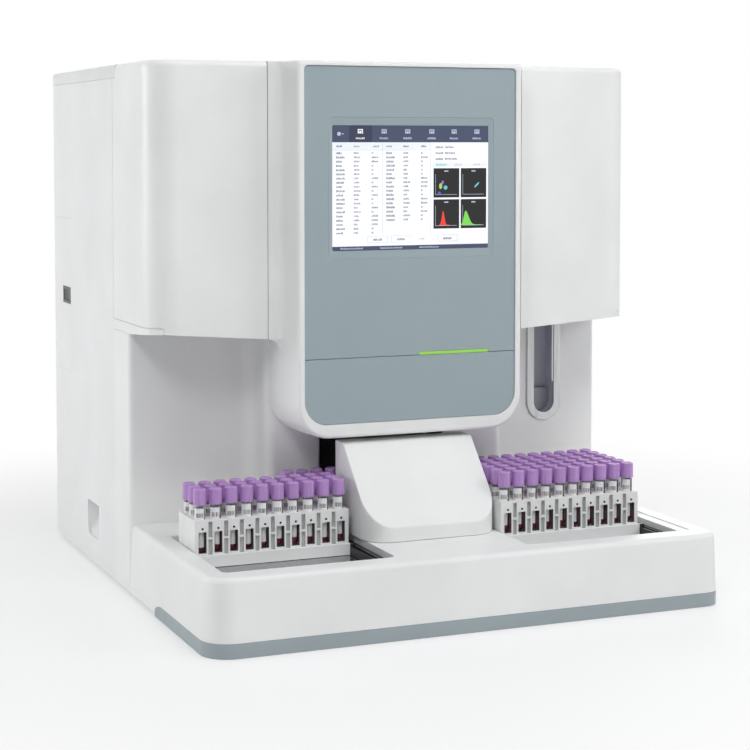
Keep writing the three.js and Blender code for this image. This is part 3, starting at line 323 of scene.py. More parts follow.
def circle(centre, radius, steps):
    angles = [2 * math.pi * s / steps for s in range(steps)]
    return [(centre[0] + radius * math.cos(angle), centre[1] + radius * math.sin(angle)) for angle in angles]


def turned(name, profile, centre, material, sides=48):
    """An upright body of revolution from (radius, height) points that start and end on the axis."""
    points, faces, loops = [], [], []
    for radius, height in profile:
        if radius <= 0:
            loops.append([len(points)])
            points.append((*centre, height))
            continue
        loops.append([len(points) + s for s in range(sides)])
        points += [(x, y, height) for x, y in circle(centre, radius, sides)]
    for a, b in zip(loops, loops[1:]):
        for s in range(sides):
            t = (s + 1) % sides
            quad = [a[s % len(a)], a[t % len(a)], b[t % len(b)], b[s % len(b)]]
            faces.append(list(dict.fromkeys(quad)))
    return make(name, points, faces, material)


def joined(name, pieces):
    """Several objects as one mesh, keeping their materials."""
    shape = bmesh.new()
    materials = []
    for piece in pieces:
        start = len(shape.faces)
        shape.from_mesh(piece.data)
        shape.faces.ensure_lookup_table()
        slots = []
        for material in piece.data.materials:
            if material not in materials:
                materials.append(material)
            slots.append(materials.index(material))
        for face in shape.faces[start:]:
            face.material_index = slots[face.material_index]
    mesh = bpy.data.meshes.new(name)
    shape.to_mesh(mesh)
    shape.free()
    for material in materials:
        mesh.materials.append(material)
    for piece in pieces:
        bpy.data.objects.remove(piece)
    return placed(name, mesh)


def paint(piece, material):
    """The same material on all of a piece."""
    piece.data.materials.clear()
    piece.data.materials.append(material)
    for polygon in piece.data.polygons:
        polygon.material_index = 0


def boolean(piece, tool, operation, painted=False):
    """Applies a boolean; a painted tool leaves its own materials on the faces it cuts."""
    if not painted:
        paint(tool, piece.data.materials[0])
    modifier = piece.modifiers.new("cut", "BOOLEAN")
    modifier.operation = operation
    modifier.solver = "EXACT"
    modifier.material_mode = "TRANSFER"
    modifier.object = tool
    bpy.context.view_layer.update()
    result = bpy.data.meshes.new_from_object(piece.evaluated_get(bpy.context.evaluated_depsgraph_get()))
    piece.modifiers.clear()
    piece.data = result
    bpy.data.objects.remove(tool)
    return piece


def cut(piece, *tools, painted=False):
    for tool in tools:
        boolean(piece, tool, "DIFFERENCE", painted)
    return piece


def meet(piece, tool):
    return boolean(piece, tool, "INTERSECT")


def add(piece, *tools):
    for tool in tools:
        boolean(piece, tool, "UNION")


def soften(piece, width=0.8, segments=3, angle=32):
    """Rounded edges and smooth faces."""
    for polygon in piece.data.polygons:
        polygon.use_smooth = True
    if width > 0:
        bevel = piece.modifiers.new("edges", "BEVEL")
        bevel.width = width * MM
        bevel.segments = segments
        bevel.limit_method = "ANGLE"
        bevel.angle_limit = math.radians(angle)
        bevel.harden_normals = True
    weighted = piece.modifiers.new("normals", "WEIGHTED_NORMAL")
    weighted.keep_sharp = True


def fit(piece, width, slot, *nodes, body="cabinet", segments=3):
    """Softens a piece, puts it on its body and hides the CAD nodes it stands for; the slot is not used."""
    soften(piece, width, segments)
    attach(piece, body)
    if nodes:
        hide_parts(*nodes)


def dress(node, material):
    """A CAD node that stays as it is, with a finish and softened edges."""
    piece = NODES[node]
    paint(piece, material)
    soften(piece, 0.5, 2)


def underside(node, material):
    """Painted shade: a darker material on the faces of a CAD node that look down, to deepen the shade below
    them.
    """
    mesh = NODES[node].data
    mesh.materials.append(material)
    for polygon in mesh.polygons:
        if polygon.normal.z < -0.5:
            polygon.material_index = len(mesh.materials) - 1


# Camera, at the photograph's viewing angle

CAMERA_PLACE = Vector((-0.98035, -2.39969, 0.59799))
CAMERA_AZIMUTH = math.radians(22.62)
CAMERA_LENS = 88.56
SENSOR = 36
LEVEL_SHIFT = -0.3065
CAMERA_SHIFT = -0.16
# The rest of the shift that a level camera would need becomes a tilt
CAMERA_PITCH = math.atan((CAMERA_SHIFT - LEVEL_SHIFT) * SENSOR / CAMERA_LENS)

camera_data = bpy.data.cameras.new("camera")
camera_data.lens = CAMERA_LENS
camera_data.sensor_width = SENSOR
camera_data.shift_y = CAMERA_SHIFT
camera_data.clip_start = 0.05
camera_data.clip_end = 50
camera = placed("camera", camera_data)
camera.location = CAMERA_PLACE
camera.rotation_euler = (math.pi / 2 - CAMERA_PITCH, 0, -CAMERA_AZIMUTH)
bpy.context.scene.camera = camera
bpy.context.scene.view_settings.view_transform = "Standard"


# Floor, world and lamps

FLOOR_FADE = (0.5, 1.3)
FLOOR_WHITE = 0.5
FLOOR_EXTENT = 12000
FLOOR_TONES = ((0.90, 0.905, 0.91), (0.92, 0.925, 0.93))
FLOOR_ROUGHNESS = 0.6
WORLD_LIGHT = 0.15


def seen(tree):
    """One for rays from the camera and for what gloss and glass show."""
    rays = tree.nodes.new("ShaderNodeLightPath")
    value = rays.outputs["Is Camera Ray"]
    for ray in ("Is Glossy Ray", "Is Transmission Ray"):
        value = tree.node("Math", 0, {0: value, 1: rays.outputs[ray]}, "MAXIMUM")
    return value


def floor():
    """A pale floor that holds the shadow near the object and goes over to white further off."""
    material, tree, bsdf = shader("floor")
    vector = tree.mapped()
    tone = tree.tinted(tree.noise(vector, 2.0), *FLOOR_TONES)
    tree.feed(bsdf, {"Base Color": tone, "Roughness": FLOOR_ROUGHNESS})
    distance = tree.node("VectorMath", "Value", {0: vector}, "LENGTH")
    fade = tree.nodes.new("ShaderNodeMapRange")
    fade.interpolation_type = "SMOOTHSTEP"
    tree.feed(fade, {"Value": distance, "From Min": FLOOR_FADE[0], "From Max": FLOOR_FADE[1],
                     "To Min": FLOOR_WHITE})
    share = tree.node("Math", 0, {0: fade.outputs["Result"], 1: seen(tree)}, "MULTIPLY")
    white = tree.node("Emission", 0, {})
    blend = tree.node("MixShader", 0, {"Fac": share, 1: bsdf.outputs[0], 2: white})
    tree.feed(tree.nodes["Material Output"], {"Surface": blend})
    corners = [(u * FLOOR_EXTENT, v * FLOOR_EXTENT, 0) for u, v in ((-1, -1), (1, -1), (1, 1), (-1, 1))]
    make("floor", corners, [[0, 1, 2, 3]], material)


def surroundings():
    """Soft light from all round, and a white background for the camera, gloss and glass."""
    world = bpy.data.worlds.new("studio")
    bpy.context.scene.world = world
    tree = Tree(world)
    soft = tree.nodes["Background"]
    tree.feed(soft, {"Color": (0.95, 0.97, 1.0, 1), "Strength": WORLD_LIGHT})
    bright = tree.node("Background", 0, {"Color": (1, 1, 1, 1), "Strength": 1.0})
    blend = tree.node("MixShader", 0, {"Fac": seen(tree), 1: soft.outputs[0], 2: bright})
    tree.feed(tree.nodes["World Output"], {"Surface": blend})


def lamp(name, place, target, size, power):
    """A soft rectangular lamp aimed at a target."""
    data = bpy.data.lights.new(name, "AREA")
    data.shape = "RECTANGLE"
    data.size, data.size_y = size
    data.energy = power
    light = placed(name, data)
    light.location = place
    direction = Vector(target) - Vector(place)
    light.rotation_euler = direction.to_track_quat("-Z", "Y").to_euler()


floor()
surroundings()
lamp("side", (-3.4, 1.6, 0.9), (0, 0.2, 0.45), (1.6, 1.2), 45)
lamp("front_left", (-2.0, -2.5, 2.7), (0, 0, 0.35), (0.9, 0.9), 30)
lamp("front_right", (2.2, -1.9, 1.6), (0.2, 0, 0.35), (1.4, 1.4), 25)
lamp("high", (0.3, -2.0, 3.2), (0, 0, 0.3), (1.4, 1.0), 24)
lamp("overhead", (0.2, -0.3, 4.6), (0, 0, 0.3), (2.8, 2.8), 42)
lamp("rear", (2.0, 2.8, 1.7), (0, 0.2, 0.4), (1.6, 1.6), 20)


# Front covers

cover_low, cover_high = box("left_door")
COVER_RADIUS = 40.0
COVER_EDGE = 8.0
COVER_LIP = 12.0
DECK_LEVEL = box("deck")[0].z
SOFFIT_RISE = 7.0
COVER_INNER_EDGE = 346.0
COVER_STEP = 20.0
LID_OVERLAP = 13.0
DOOR_GAP = 1.9
LEFT, RIGHT = cover_low.x, -cover_low.x
COVER_Y = cover_low.y
TOP = cover_high.z
SEAM_Y = box("left_side_panel")[0].y
DECK_TOP = box("bulkhead")[0].z - SEAT
LID_LEVEL = box("left_side_panel")[1].z + SEAT
COVER_BASE = COVER_INNER_EDGE - COVER_STEP
PIN_X = RIGHT - 3.2
PIN_Y = SEAM_Y - DOOR_GAP - 2.4
# The foot of the door turns clear inside this circle round its pin
SWING_Y = COVER_Y + COVER_RADIUS - math.sqrt(COVER_RADIUS ** 2 - (COVER_RADIUS - COVER_STEP) ** 2)
SWING_RADIUS = math.hypot(RIGHT - COVER_STEP - PIN_X, SWING_Y - PIN_Y) + SEAT * 2
SWING_SIDES = 384


def cover_plan(side, inset, inner_x, rear_y):
    """A cover from above, with its rounded outer front corner."""
    outer = side * (RIGHT - inset)
    y = COVER_Y + inset
    return rounded([(outer, rear_y), (outer, y, COVER_RADIUS - inset), (inner_x, y), (inner_x, rear_y)])


def cover(name, node, body, side):
    """A hollow front cover, bent round the corner of the cabinet."""
    low, high = box(node)
    inner = high.x if side < 0 else low.x
    rear = high.y
    past = inner - side * OVERRUN
    outer = side * RIGHT
    beyond = outer + side * OVERRUN
    below = [(beyond, DECK_LEVEL + SOFFIT_RISE), (outer - side * COVER_STEP, DECK_LEVEL + SOFFIT_RISE),
             (past, COVER_INNER_EDGE), (past, COVER_BASE - OVERRUN), (beyond, COVER_BASE - OVERRUN)]
    near, far = sorted((beyond, outer - side * COVER_RADIUS))
    shell = crowned(name, lambda inset: cover_plan(side, inset, inner, rear), COVER_BASE, TOP, COVER_EDGE)
    cut(shell,
        prism("hollow", cover_plan(side, SKIN, past, rear + OVERRUN), "z", COVER_BASE - OVERRUN, TOP - SKIN),
        prism("roof", cover_plan(side, COVER_LIP, past, rear + OVERRUN), "z", TOP - SKIN - OVERRUN,
              TOP + OVERRUN),
        prism("below", below, "y", COVER_Y - OVERRUN, rear + OVERRUN),
        prism("swing", circle((side * PIN_X, PIN_Y), SWING_RADIUS, SWING_SIDES), "z",
              COVER_BASE - OVERRUN * 2, DECK_TOP + SEAT * 2),
        block("step", (near, SEAM_Y - LID_OVERLAP - DOOR_GAP / 2, LID_LEVEL - SEAT * 2),
              (far, SEAM_Y + OVERRUN, TOP + OVERRUN)))
    fit(shell, 0.7, "white_plastic", node, body=body)


# Column with its bead, chin, panels and screen

column_low, column_high = box("column_housing")
panel_low, panel_high = box("display_panel")
lower_low, lower_high = box("lower_panel")
COLUMN_X = (panel_low.x + panel_high.x) / 2
COLUMN_HALF = 166.0
COLUMN_FRONT_HALF = 160.0
BEAD_EDGE = 5.0
CHIN_RADIUS = 45.0
CHIN_LEVEL = column_low.z
COLUMN_TOP_RADIUS = 2.0
BEAD_Y = column_low.y
COLUMN_REAR = column_high.y
PANEL_Y = panel_low.y
PANEL_REAR = panel_high.y
PANEL_RADIUS = 32.0
PANEL_TOP_RADIUS = 6.0
POCKET_Y = PANEL_REAR + SEAT
FLANGE_HALF = 183.0
FLANGE_DEPTH = 12.0
FLANGE_LEVEL = 346.0
FLANGE_FILLET = 20.0
COVE_RADIUS = 12.0
COVE_BITE = 0.5
COVE_TOP_GAP = 0.05
SCREEN_RADIUS = 5.0
GLASS_RADIUS = 2.5
BEZEL_SETBACK = 0.4
GLASS_LIP = 0.1


def column_ring(side_inset, edge_inset, y):
    """The column's outline from the front, drawn in by the insets."""
    x = COLUMN_HALF - side_inset
    outline = rounded(mirrored(COLUMN_X, [
        (x, TOP - edge_inset, COLUMN_TOP_RADIUS),
        (x, CHIN_LEVEL + edge_inset, CHIN_RADIUS - edge_inset),
    ]))
    return [(u, y, v) for u, v in outline]


def panel_outline(inset, low, high, lower_radius, upper_radius):
    """A panel's outline from the front, drawn in from the sides of its pocket."""
    x = (panel_high.x - panel_low.x) / 2 + SEAT - inset
    return rounded(mirrored(COLUMN_X, [(x, high, upper_radius), (x, low, lower_radius)]))


def housing():
    """The column with its bead and the coved flanges beside it."""
    slope = COLUMN_HALF - COLUMN_FRONT_HALF
    rings = [column_ring(0, 0, COLUMN_REAR), column_ring(0, 0, COVER_Y),
             column_ring(slope, 0, BEAD_Y + BEAD_EDGE)]
    for sine, cosine in quarter()[1:]:
        inset = BEAD_EDGE * (1 - cosine)
        rings.append(column_ring(slope + inset, inset, BEAD_Y + BEAD_EDGE * (1 - sine)))
    shell = loft("column_shell", rings, WHITE)
    flange = rounded(mirrored(COLUMN_X, [
        (FLANGE_HALF, TOP), (FLANGE_HALF, FLANGE_LEVEL),
        (COLUMN_HALF - HAIR, FLANGE_LEVEL, FLANGE_FILLET - SKIN),
        (COLUMN_HALF - HAIR, FLANGE_LEVEL - FLANGE_FILLET),
    ]))
    cove = rounded(mirrored(COLUMN_X, [
        (FLANGE_HALF, COVER_Y + COVE_BITE), (FLANGE_HALF, COVER_Y), (COLUMN_HALF, COVER_Y, COVE_RADIUS),
        (COLUMN_HALF - OVERRUN, COVER_Y - COVE_RADIUS - OVERRUN),
    ]))
    add(shell, prism("flange", flange, "y", COVER_Y, COVER_Y + FLANGE_DEPTH),
        prism("cove", cove, "z", FLANGE_LEVEL, TOP - COVE_TOP_GAP))
    inner = [column_ring(SKIN, SKIN, y) for y in (COLUMN_REAR + OVERRUN, COVER_Y)]
    inner.append(column_ring(SKIN + slope, SKIN, POCKET_Y + SKIN))
    pocket = panel_outline(0, lower_low.z - SEAT, panel_high.z + SEAT, PANEL_RADIUS, PANEL_TOP_RADIUS)
    cut(shell, loft("inner", inner, WHITE), prism("pocket", pocket, "y", BEAD_Y - OVERRUN, POCKET_Y))
    fit(shell, 1.2, "white_plastic", "column_housing", segments=4)


def plate_outline(low, high, radius):
    """A box from the front, with rounded corners."""
    return rounded([(low.x, low.z, radius), (high.x, low.z, radius), (high.x, high.z, radius),
                    (low.x, high.z, radius)], COARSE)


def panels():
    """The two front panels and the status light between them."""
    light_low, light_high = box("status_light")
    upper = prism("upper_panel_skin",
                  panel_outline(SEAT, panel_low.z, panel_high.z, 0, PANEL_TOP_RADIUS - SEAT), "y",
                  PANEL_Y, PANEL_REAR, BLUE)
    window = plate_outline(*box("screen_bezel"), SCREEN_RADIUS)
    cut(upper, prism("window", window, "y", PANEL_Y - OVERRUN, PANEL_REAR + OVERRUN),
        block("light_cut", (light_low.x - SEAT, PANEL_Y - OVERRUN, panel_low.z - OVERRUN),
              (light_high.x + SEAT, PANEL_REAR + OVERRUN, light_high.z + SEAT)))
    fit(upper, 0.9, "blue_panel", "display_panel")
    lower = prism("lower_panel_skin",
                  panel_outline(SEAT, lower_low.z, lower_high.z, PANEL_RADIUS - SEAT, 0), "y",
                  PANEL_Y, PANEL_REAR, BLUE)
    fit(lower, 0.9, "blue_panel", "lower_panel")
    glow = block("status_light_bar", light_low, light_high, lit("status_green", (0.30, 0.62, 0.10), 0.75))
    fit(glow, 0.6, "green_light", "status_light")


def bezel():
    """A sloping frame round the screen, open in the middle."""
    low, high = box("screen_bezel")
    glass_low, glass_high = box("touchscreen")
    outer = plate_outline(low, high, SCREEN_RADIUS)
    inner = plate_outline(glass_low, glass_high, GLASS_RADIUS)
    rings = [[(u, y, v) for u, v in outline] for outline, y in (
        (outer, PANEL_Y + BEZEL_SETBACK), (outer, high.y), (inner, high.y), (inner, glass_low.y - GLASS_LIP))]
    fit(loft("screen_frame", rings, BLUE, hollow=True), 0.4, "blue_panel", "screen_bezel")


# Screen contents: a generic page of tables and plots, with bars in place of words

SCREEN = {tone: lit(f"screen_{tone}", color, strength) for tone, color, strength in (
    ("white", (0.86, 0.88, 0.92), 0.92),
    ("pale", (0.78, 0.81, 0.88), 0.9),
    ("navy", (0.045, 0.06, 0.115), 0.9),
    ("deep", (0.025, 0.033, 0.07), 0.9),
    ("ink", (0.10, 0.10, 0.13), 0.8),
    ("mist", (0.45, 0.5, 0.62), 0.9),
    ("black", (0.004, 0.004, 0.005), 0.5),
    ("red", (0.75, 0.04, 0.02), 0.95),
    ("green", (0.18, 0.62, 0.08), 0.95),
    ("teal", (0.10, 0.50, 0.55), 0.95),
    ("violet", (0.35, 0.12, 0.45), 0.95),
    ("lime", (0.35, 0.6, 0.12), 0.95),
    ("blue", (0.08, 0.10, 0.55), 0.95),
)}
TILE_FRONT = 0.04
TILE_STEP = 0.05
TILE_REAR = 0.02
HEADER = 0.135
FOOTER = 0.965
TABLE_EDGE = 0.62
TABLE_MIDDLE = 0.315
TABLE_HEAD = (0.025, 0.135, 0.255, 0.34, 0.445, 0.56)
TABLE_ROWS = ((0.0, 20), (TABLE_MIDDLE, 17))
ROW_TOP = 0.212
ROW_PITCH = 0.0335
ICONS = (0.175, 0.325, 0.475, 0.63, 0.775, 0.925)
BUTTONS = (0.22, 0.37, 0.67)
HAIRLINE = 0.002
LETTER_STEP = 0.0062
DISC_SIDES = 14
SCREEN_SEED = 7
PLOT_SIZE = (0.168, 0.238)
CURVE_FOOT = 0.808
CURVE_HEIGHT = 0.115
CURVE_STEPS = 26
CURVE_SPAN = (0.645, 0.985)


class Page:
    """Flat tiles on the screen, in shares of its width from the left and of its height from the top."""

    def __init__(self, low, high, dice):
        self.low = low
        self.size = (high.x - low.x, high.z - low.z)
        self.front = low.y
        self.dice = dice
        self.tiles = []

    def shape(self, tone, layer, points):
        """A tile of any outline; a higher layer lies further out."""
        y = self.front - TILE_FRONT - TILE_STEP * layer
        outline = [(self.low.x + u * self.size[0], self.low.z + (1 - v) * self.size[1]) for u, v in points]
        self.tiles.append(prism("tile", outline, "y", y, self.front + TILE_REAR, SCREEN[tone]))

    def bar(self, tone, layer, u, v, width, height):
        self.shape(tone, layer, [(u, v), (u + width, v), (u + width, v + height), (u, v + height)])

    def disc(self, tone, layer, u, v, ru, rv, turn=0.0):
        """A disc or, with two radii, an ellipse that can be turned."""
        sine, cosine = math.sin(turn), math.cos(turn)
        self.shape(tone, layer, [(u + a * ru * cosine - b * rv * sine, v + a * ru * sine + b * rv * cosine)
                                 for a, b in circle((0, 0), 1, DISC_SIDES)])

    def words(self, tone, layer, u, v, width, height):
        """A run of short bars that looks like a word from a distance."""
        end = u + width
        while u < end - LETTER_STEP * 0.5:
            tall = height * self.dice.uniform(0.65, 1.0)
            self.bar(tone, layer, u, v + height - tall, LETTER_STEP * self.dice.uniform(0.45, 0.7), tall)
            u += LETTER_STEP


def screen_page():
    """Icons, a table in two columns, plots, buttons and a footer."""
    low, high = box("touchscreen")
    dice = random.Random(SCREEN_SEED)
    page = Page(low, high, dice)
    page.bar("white", 0, 0.0, 0.0, 1.0, 1.0)
    page.bar("navy", 1, 0.0, 0.0, 1.0, HEADER)
    page.bar("deep", 2, 0.105, 0.0, 0.145, HEADER)
    page.bar("navy", 1, 0.0, FOOTER, 1.0, 1 - FOOTER)
    for u in ICONS:
        tone = "white" if u == ICONS[0] else "mist"
        page.bar(tone, 3, u - 0.016, 0.03, 0.032, 0.008)
        page.bar(tone, 3, u - 0.016, 0.03, 0.006, 0.036)
        page.bar(tone, 3, u + 0.010, 0.03, 0.006, 0.036)
        page.disc(tone, 3, u, 0.055, 0.008, 0.011)
        page.words(tone, 3, u - 0.028, 0.092, 0.056, 0.018)
    page.disc("mist", 3, 0.042, 0.068, 0.012, 0.016)
    page.bar("mist", 3, 0.060, 0.064, 0.010, 0.008)
    page.bar("pale", 1, 0.0, HEADER, TABLE_EDGE, 0.062)
    page.bar("mist", 2, 0.0, 0.197, TABLE_EDGE, HAIRLINE)
    page.bar("mist", 2, TABLE_MIDDLE, 0.14, HAIRLINE, 0.72)
    page.bar("mist", 2, TABLE_EDGE, HEADER, HAIRLINE, 0.75)
    for u in TABLE_HEAD:
        page.words("ink", 2, u, 0.158, 0.036, 0.016)
    for column, rows in TABLE_ROWS:
        for row in range(rows):
            v = ROW_TOP + row * ROW_PITCH
            page.words("ink", 2, column + 0.024, v, dice.uniform(0.036, 0.058), 0.018)
            page.words("ink", 2, column + 0.134, v, dice.uniform(0.024, 0.044), 0.016)
            page.words("ink", 2, column + 0.246, v, dice.choice([0.010, 0.012, 0.046]), 0.016)
    for v in (0.165, 0.212, 0.26):
        page.words("ink", 1, 0.655, v, 0.05, 0.018)
        page.words("ink", 1, 0.715, v, dice.uniform(0.06, 0.13), 0.016)
    page.bar("pale", 1, 0.635, 0.298, 0.355, 0.036)
    page.words("teal", 2, 0.66, 0.307, 0.07, 0.018)
    page.words("mist", 2, 0.78, 0.307, 0.05, 0.016)
    page.words("mist", 2, 0.90, 0.307, 0.05, 0.016)
    plots(page)
    for u in BUTTONS:
        page.bar("mist", 1, u, 0.886, 0.128, 0.054)
        page.bar("white", 2, u + 0.0025, 0.889, 0.123, 0.048)
        page.words("ink", 3, u + 0.036, 0.904, 0.055, 0.02)
    page.words("mist", 2, 0.55, 0.904, 0.04, 0.018)
    for u, width in ((0.05, 0.14), (0.30, 0.14), (0.55, 0.13)):
        page.words("mist", 2, u, 0.975, width, 0.014)
    tiles = joined("screen_page", page.tiles)
    glass = block("touch_glass", low, high, BLACK)
    fit(glass, 0.3, "screen_glass", "touchscreen")
    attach(tiles, "cabinet")


def plots(page):
    """Two scatter plots and two curves on black squares."""
    for u in (0.642, 0.820):
        for v in (0.345, 0.598):
            page.bar("black", 1, u, v, *PLOT_SIZE)
            page.bar("mist", 2, u + 0.012, v + 0.212, 0.14, 0.003)
            page.bar("mist", 2, u + 0.012, v + 0.05, HAIRLINE, 0.165)
            page.bar("mist", 2, u + 0.07, v + 0.018, 0.026, 0.010)
    page.disc("lime", 2, 0.688, 0.490, 0.010, 0.024)
    page.disc("violet", 3, 0.700, 0.462, 0.008, 0.018, 0.2)
    page.disc("teal", 2, 0.720, 0.502, 0.013, 0.017)
    page.disc("blue", 2, 0.680, 0.545, 0.010, 0.010)
    page.disc("teal", 2, 0.925, 0.482, 0.027, 0.006, -0.95)
    for tone, centre, wide, tail in (("red", 0.705, 0.014, 0.014), ("green", 0.852, 0.018, 0.032)):
        crest = []
        for s in range(CURVE_STEPS + 1):
            u = centre - wide * 1.9 + (wide * 1.9 + tail * 3.2) * s / CURVE_STEPS
            scale = wide if u < centre else tail
            v = CURVE_FOOT - CURVE_HEIGHT * math.exp(-((u - centre) / scale) ** 2 * 1.3) - 0.001
            crest.append((max(CURVE_SPAN[0], min(CURVE_SPAN[1], u)), v))
        page.shape(tone, 2, crest + [(crest[-1][0], 0.81), (crest[0][0], 0.81)])


# Tray, plinth and floor

TRAY_RADII = (36.0, 24.0)
TRAY_DRAFT = 3.0
TRAY_RIM = 7.0
TRAY_WALL = 4.0
TRAY_BELLY = 66.0
tray_low, tray_high = box("sample_tray")
floor_low, floor_high = box("bay_floor")
plinth_high = box("tray_plinth")[1]
FRONT = tray_low.y
TRAY_REAR = tray_high.y
TRAY_LEVEL = tray_high.z
LEFT_BAY = (floor_low.x - SEAT, -98.0)
RIGHT_BAY = (83.0, floor_high.x + SEAT)
BAY_FRONT = floor_low.y - SEAT
LANE_WIDTH = 24.5
LANE_REAR = floor_high.y + SEAT
LANE_FRONT = LANE_REAR - LANE_WIDTH
BAY_RADIUS = 8.0
LEDGE_WIDTH = 16.0
LEDGE_DEPTH = 1.2
SKIRT_BITE = 0.5
PLINTH_END = 36.0
PLINTH_FOOT = 0.6


def tray_plan(inset, rear):
    """The tray from above, with its two front corners."""
    x = RIGHT - inset
    y = FRONT + inset
    left, right = TRAY_RADII
    return rounded([(-x, rear), (-x, y, left - inset), (x, y, right - inset), (x, rear)])


def bay_plan(inset):
    """The two bays and the lane behind them from above."""
    x0, x1 = LEFT_BAY[0] + inset, LEFT_BAY[1] - inset
    x2, x3 = RIGHT_BAY[0] + inset, RIGHT_BAY[1] - inset
    near, lane, rear = BAY_FRONT + inset, LANE_FRONT + inset, LANE_REAR - inset
    r = BAY_RADIUS - inset
    return rounded([(x0, rear, r), (x0, near, r), (x1, near, r), (x1, lane), (x2, lane), (x2, near, r),
                    (x3, near, r), (x3, rear, r)], COARSE)


def swept_end(y, low, high):
    """The long curved end of the plinth band, from its upper edge down to the bottom at y."""
    return [(y - PLINTH_END * (1 - sine), low + (high - low) * cosine) for sine, cosine in quarter(FINE)]


def tray():
    """The tray with its rounded rim, its bays, the step beside the right one, and the side skirts."""
    foot = plinth_high.z + SEAT
    shell = crowned("tray_shell", lambda inset: tray_plan(inset, TRAY_REAR), foot, TRAY_LEVEL, TRAY_RIM,
                    TRAY_DRAFT)
    belly = prism("belly", tray_plan(TRAY_DRAFT + TRAY_WALL, TRAY_REAR - TRAY_WALL), "z", foot - OVERRUN,
                  TRAY_BELLY)
    bays = prism("bays", bay_plan(0), "z", floor_low.z - SEAT, TRAY_LEVEL + OVERRUN)
    ledge = block("ledge", (RIGHT_BAY[1] - BAY_RADIUS, BAY_FRONT, TRAY_LEVEL - LEDGE_DEPTH),
                  (RIGHT_BAY[1] + LEDGE_WIDTH, TRAY_REAR + OVERRUN, TRAY_LEVEL + OVERRUN))
    cut(shell, belly, bays, ledge)
    profile = swept_end(plinth_high.y + SEAT, tray_low.z, foot)
    profile += [(TRAY_REAR, tray_low.z), (TRAY_REAR, foot + SKIRT_BITE), (profile[0][0], foot + SKIRT_BITE)]
    add(shell, prism("left_skirt", profile, "x", LEFT, LEFT + TRAY_WALL),
        prism("right_skirt", profile, "x", RIGHT - TRAY_WALL, RIGHT))
    fit(shell, 1.0, "white_plastic", "sample_tray", segments=4)


def plinth():
    """The band round the foot of the tray, whose ends sweep down."""
    top, rear = plinth_high.z, plinth_high.y
    outer = prism("plinth_band", tray_plan(0, rear + OVERRUN), "z", 0, top + OVERRUN, GREY)
    inner = prism("plinth_inner", tray_plan(TRAY_WALL, rear + OVERRUN * 2), "z", -OVERRUN, top + OVERRUN * 2)
    profile = [(FRONT - OVERRUN, top), *swept_end(rear, tray_low.z, top), (rear, PLINTH_FOOT),
               (FRONT - OVERRUN, PLINTH_FOOT)]
    meet(cut(outer, inner), prism("plinth_end", profile, "x", LEFT - OVERRUN, RIGHT + OVERRUN, GREY))
    fit(outer, 0.6, "grey_plastic", "tray_plinth")


def bay_floor():
    piece = prism("bay_floor_sheet", bay_plan(SEAT), "z", floor_low.z, floor_high.z, FLOOR_STEEL)
    fit(piece, 0.3, "steel", "bay_floor")


# Sampler cover

WEDGE_BAND = 114.0
WEDGE_RIDGE_Y = -184.0
WEDGE_RADIUS = 35.0
WEDGE_CREST = 10.0
WEDGE_STEPS = 32


def wedge_solid(name, inset, foot, rear):
    """The sampler cover's form, drawn in by an inset."""
    low, high = box("sampler_cover")
    front = low.y + inset
    top = high.z - inset
    profile = rounded([(rear, foot), (front, foot), (front, WEDGE_BAND),
                       (WEDGE_RIDGE_Y + inset, top, WEDGE_CREST), (rear, top)], COARSE)
    half = (high.x - low.x) / 2 - inset
    plan = rounded(mirrored((low.x + high.x) / 2, [(half, rear), (half, front, WEDGE_RADIUS - inset)]),
                   WEDGE_STEPS)
    body = prism(name, profile, "x", low.x - OVERRUN, high.x + OVERRUN)
    return meet(body, prism("plan", plan, "z", foot - OVERRUN, top + OVERRUN))


def sampler_cover():
    low, high = box("sampler_cover")
    shell = wedge_solid("sampler_cover_shell", 0, low.z, high.y)
    cut(shell, wedge_solid("hollow", SKIN, low.z - OVERRUN, high.y + OVERRUN))
    fit(shell, 2.6, "white_plastic", "sampler_cover", segments=5)


# Front moulding round the open bay

BLOCK_X = (-178.0, 173.0)
MOULDING_CORNER = 8.0
BLOCK_CORNER = 14.0
BLOCK_COVE = 20.0
vial_low, vial_high = box("open_vial_frame")
VIAL_X = (vial_low.x + vial_high.x) / 2
VIAL_HALF = (vial_high.x - vial_low.x) / 2
VIAL_CENTRE = vial_low.z + VIAL_HALF
VIAL_TOP = vial_high.z
VIAL_WALL = 4.0
BLOCK_REACH = 56.5
BLOCK_SIDE = 23.5
MOULDING_STEPS = 16
CHASE_TOP = 336.0
PASSAGE_X = (-103.0, 80.0)
PASSAGE_TOP = 216.0
moulding_low, moulding_high = box("front_moulding")
BLOCK_Y = moulding_low.y
WALL_Y = BLOCK_Y + BLOCK_REACH
BASE_TOP = box("base_plate")[1].z + SEAT


def moulding_plan(inset, rear, with_block):
    """The moulding from above, with or without the block behind the chin."""
    x = RIGHT - inset
    y = WALL_Y + inset
    corner = MOULDING_CORNER - inset
    middle = []
    if with_block:
        half = (BLOCK_X[1] - BLOCK_X[0]) / 2 - inset
        middle = mirrored(sum(BLOCK_X) / 2, [(half, y, BLOCK_COVE + inset),
                                             (half, BLOCK_Y + inset, BLOCK_CORNER - inset)])
    return rounded([(-x, rear), (-x, y, corner), *middle, (x, y, corner), (x, rear)], MOULDING_STEPS)


def vial_outline(half, top):
    """A slot of the open-vial station from the front, with a round lower end."""
    return rounded(mirrored(VIAL_X, [(half, top), (half, VIAL_CENTRE - half, half - HAIR)]))


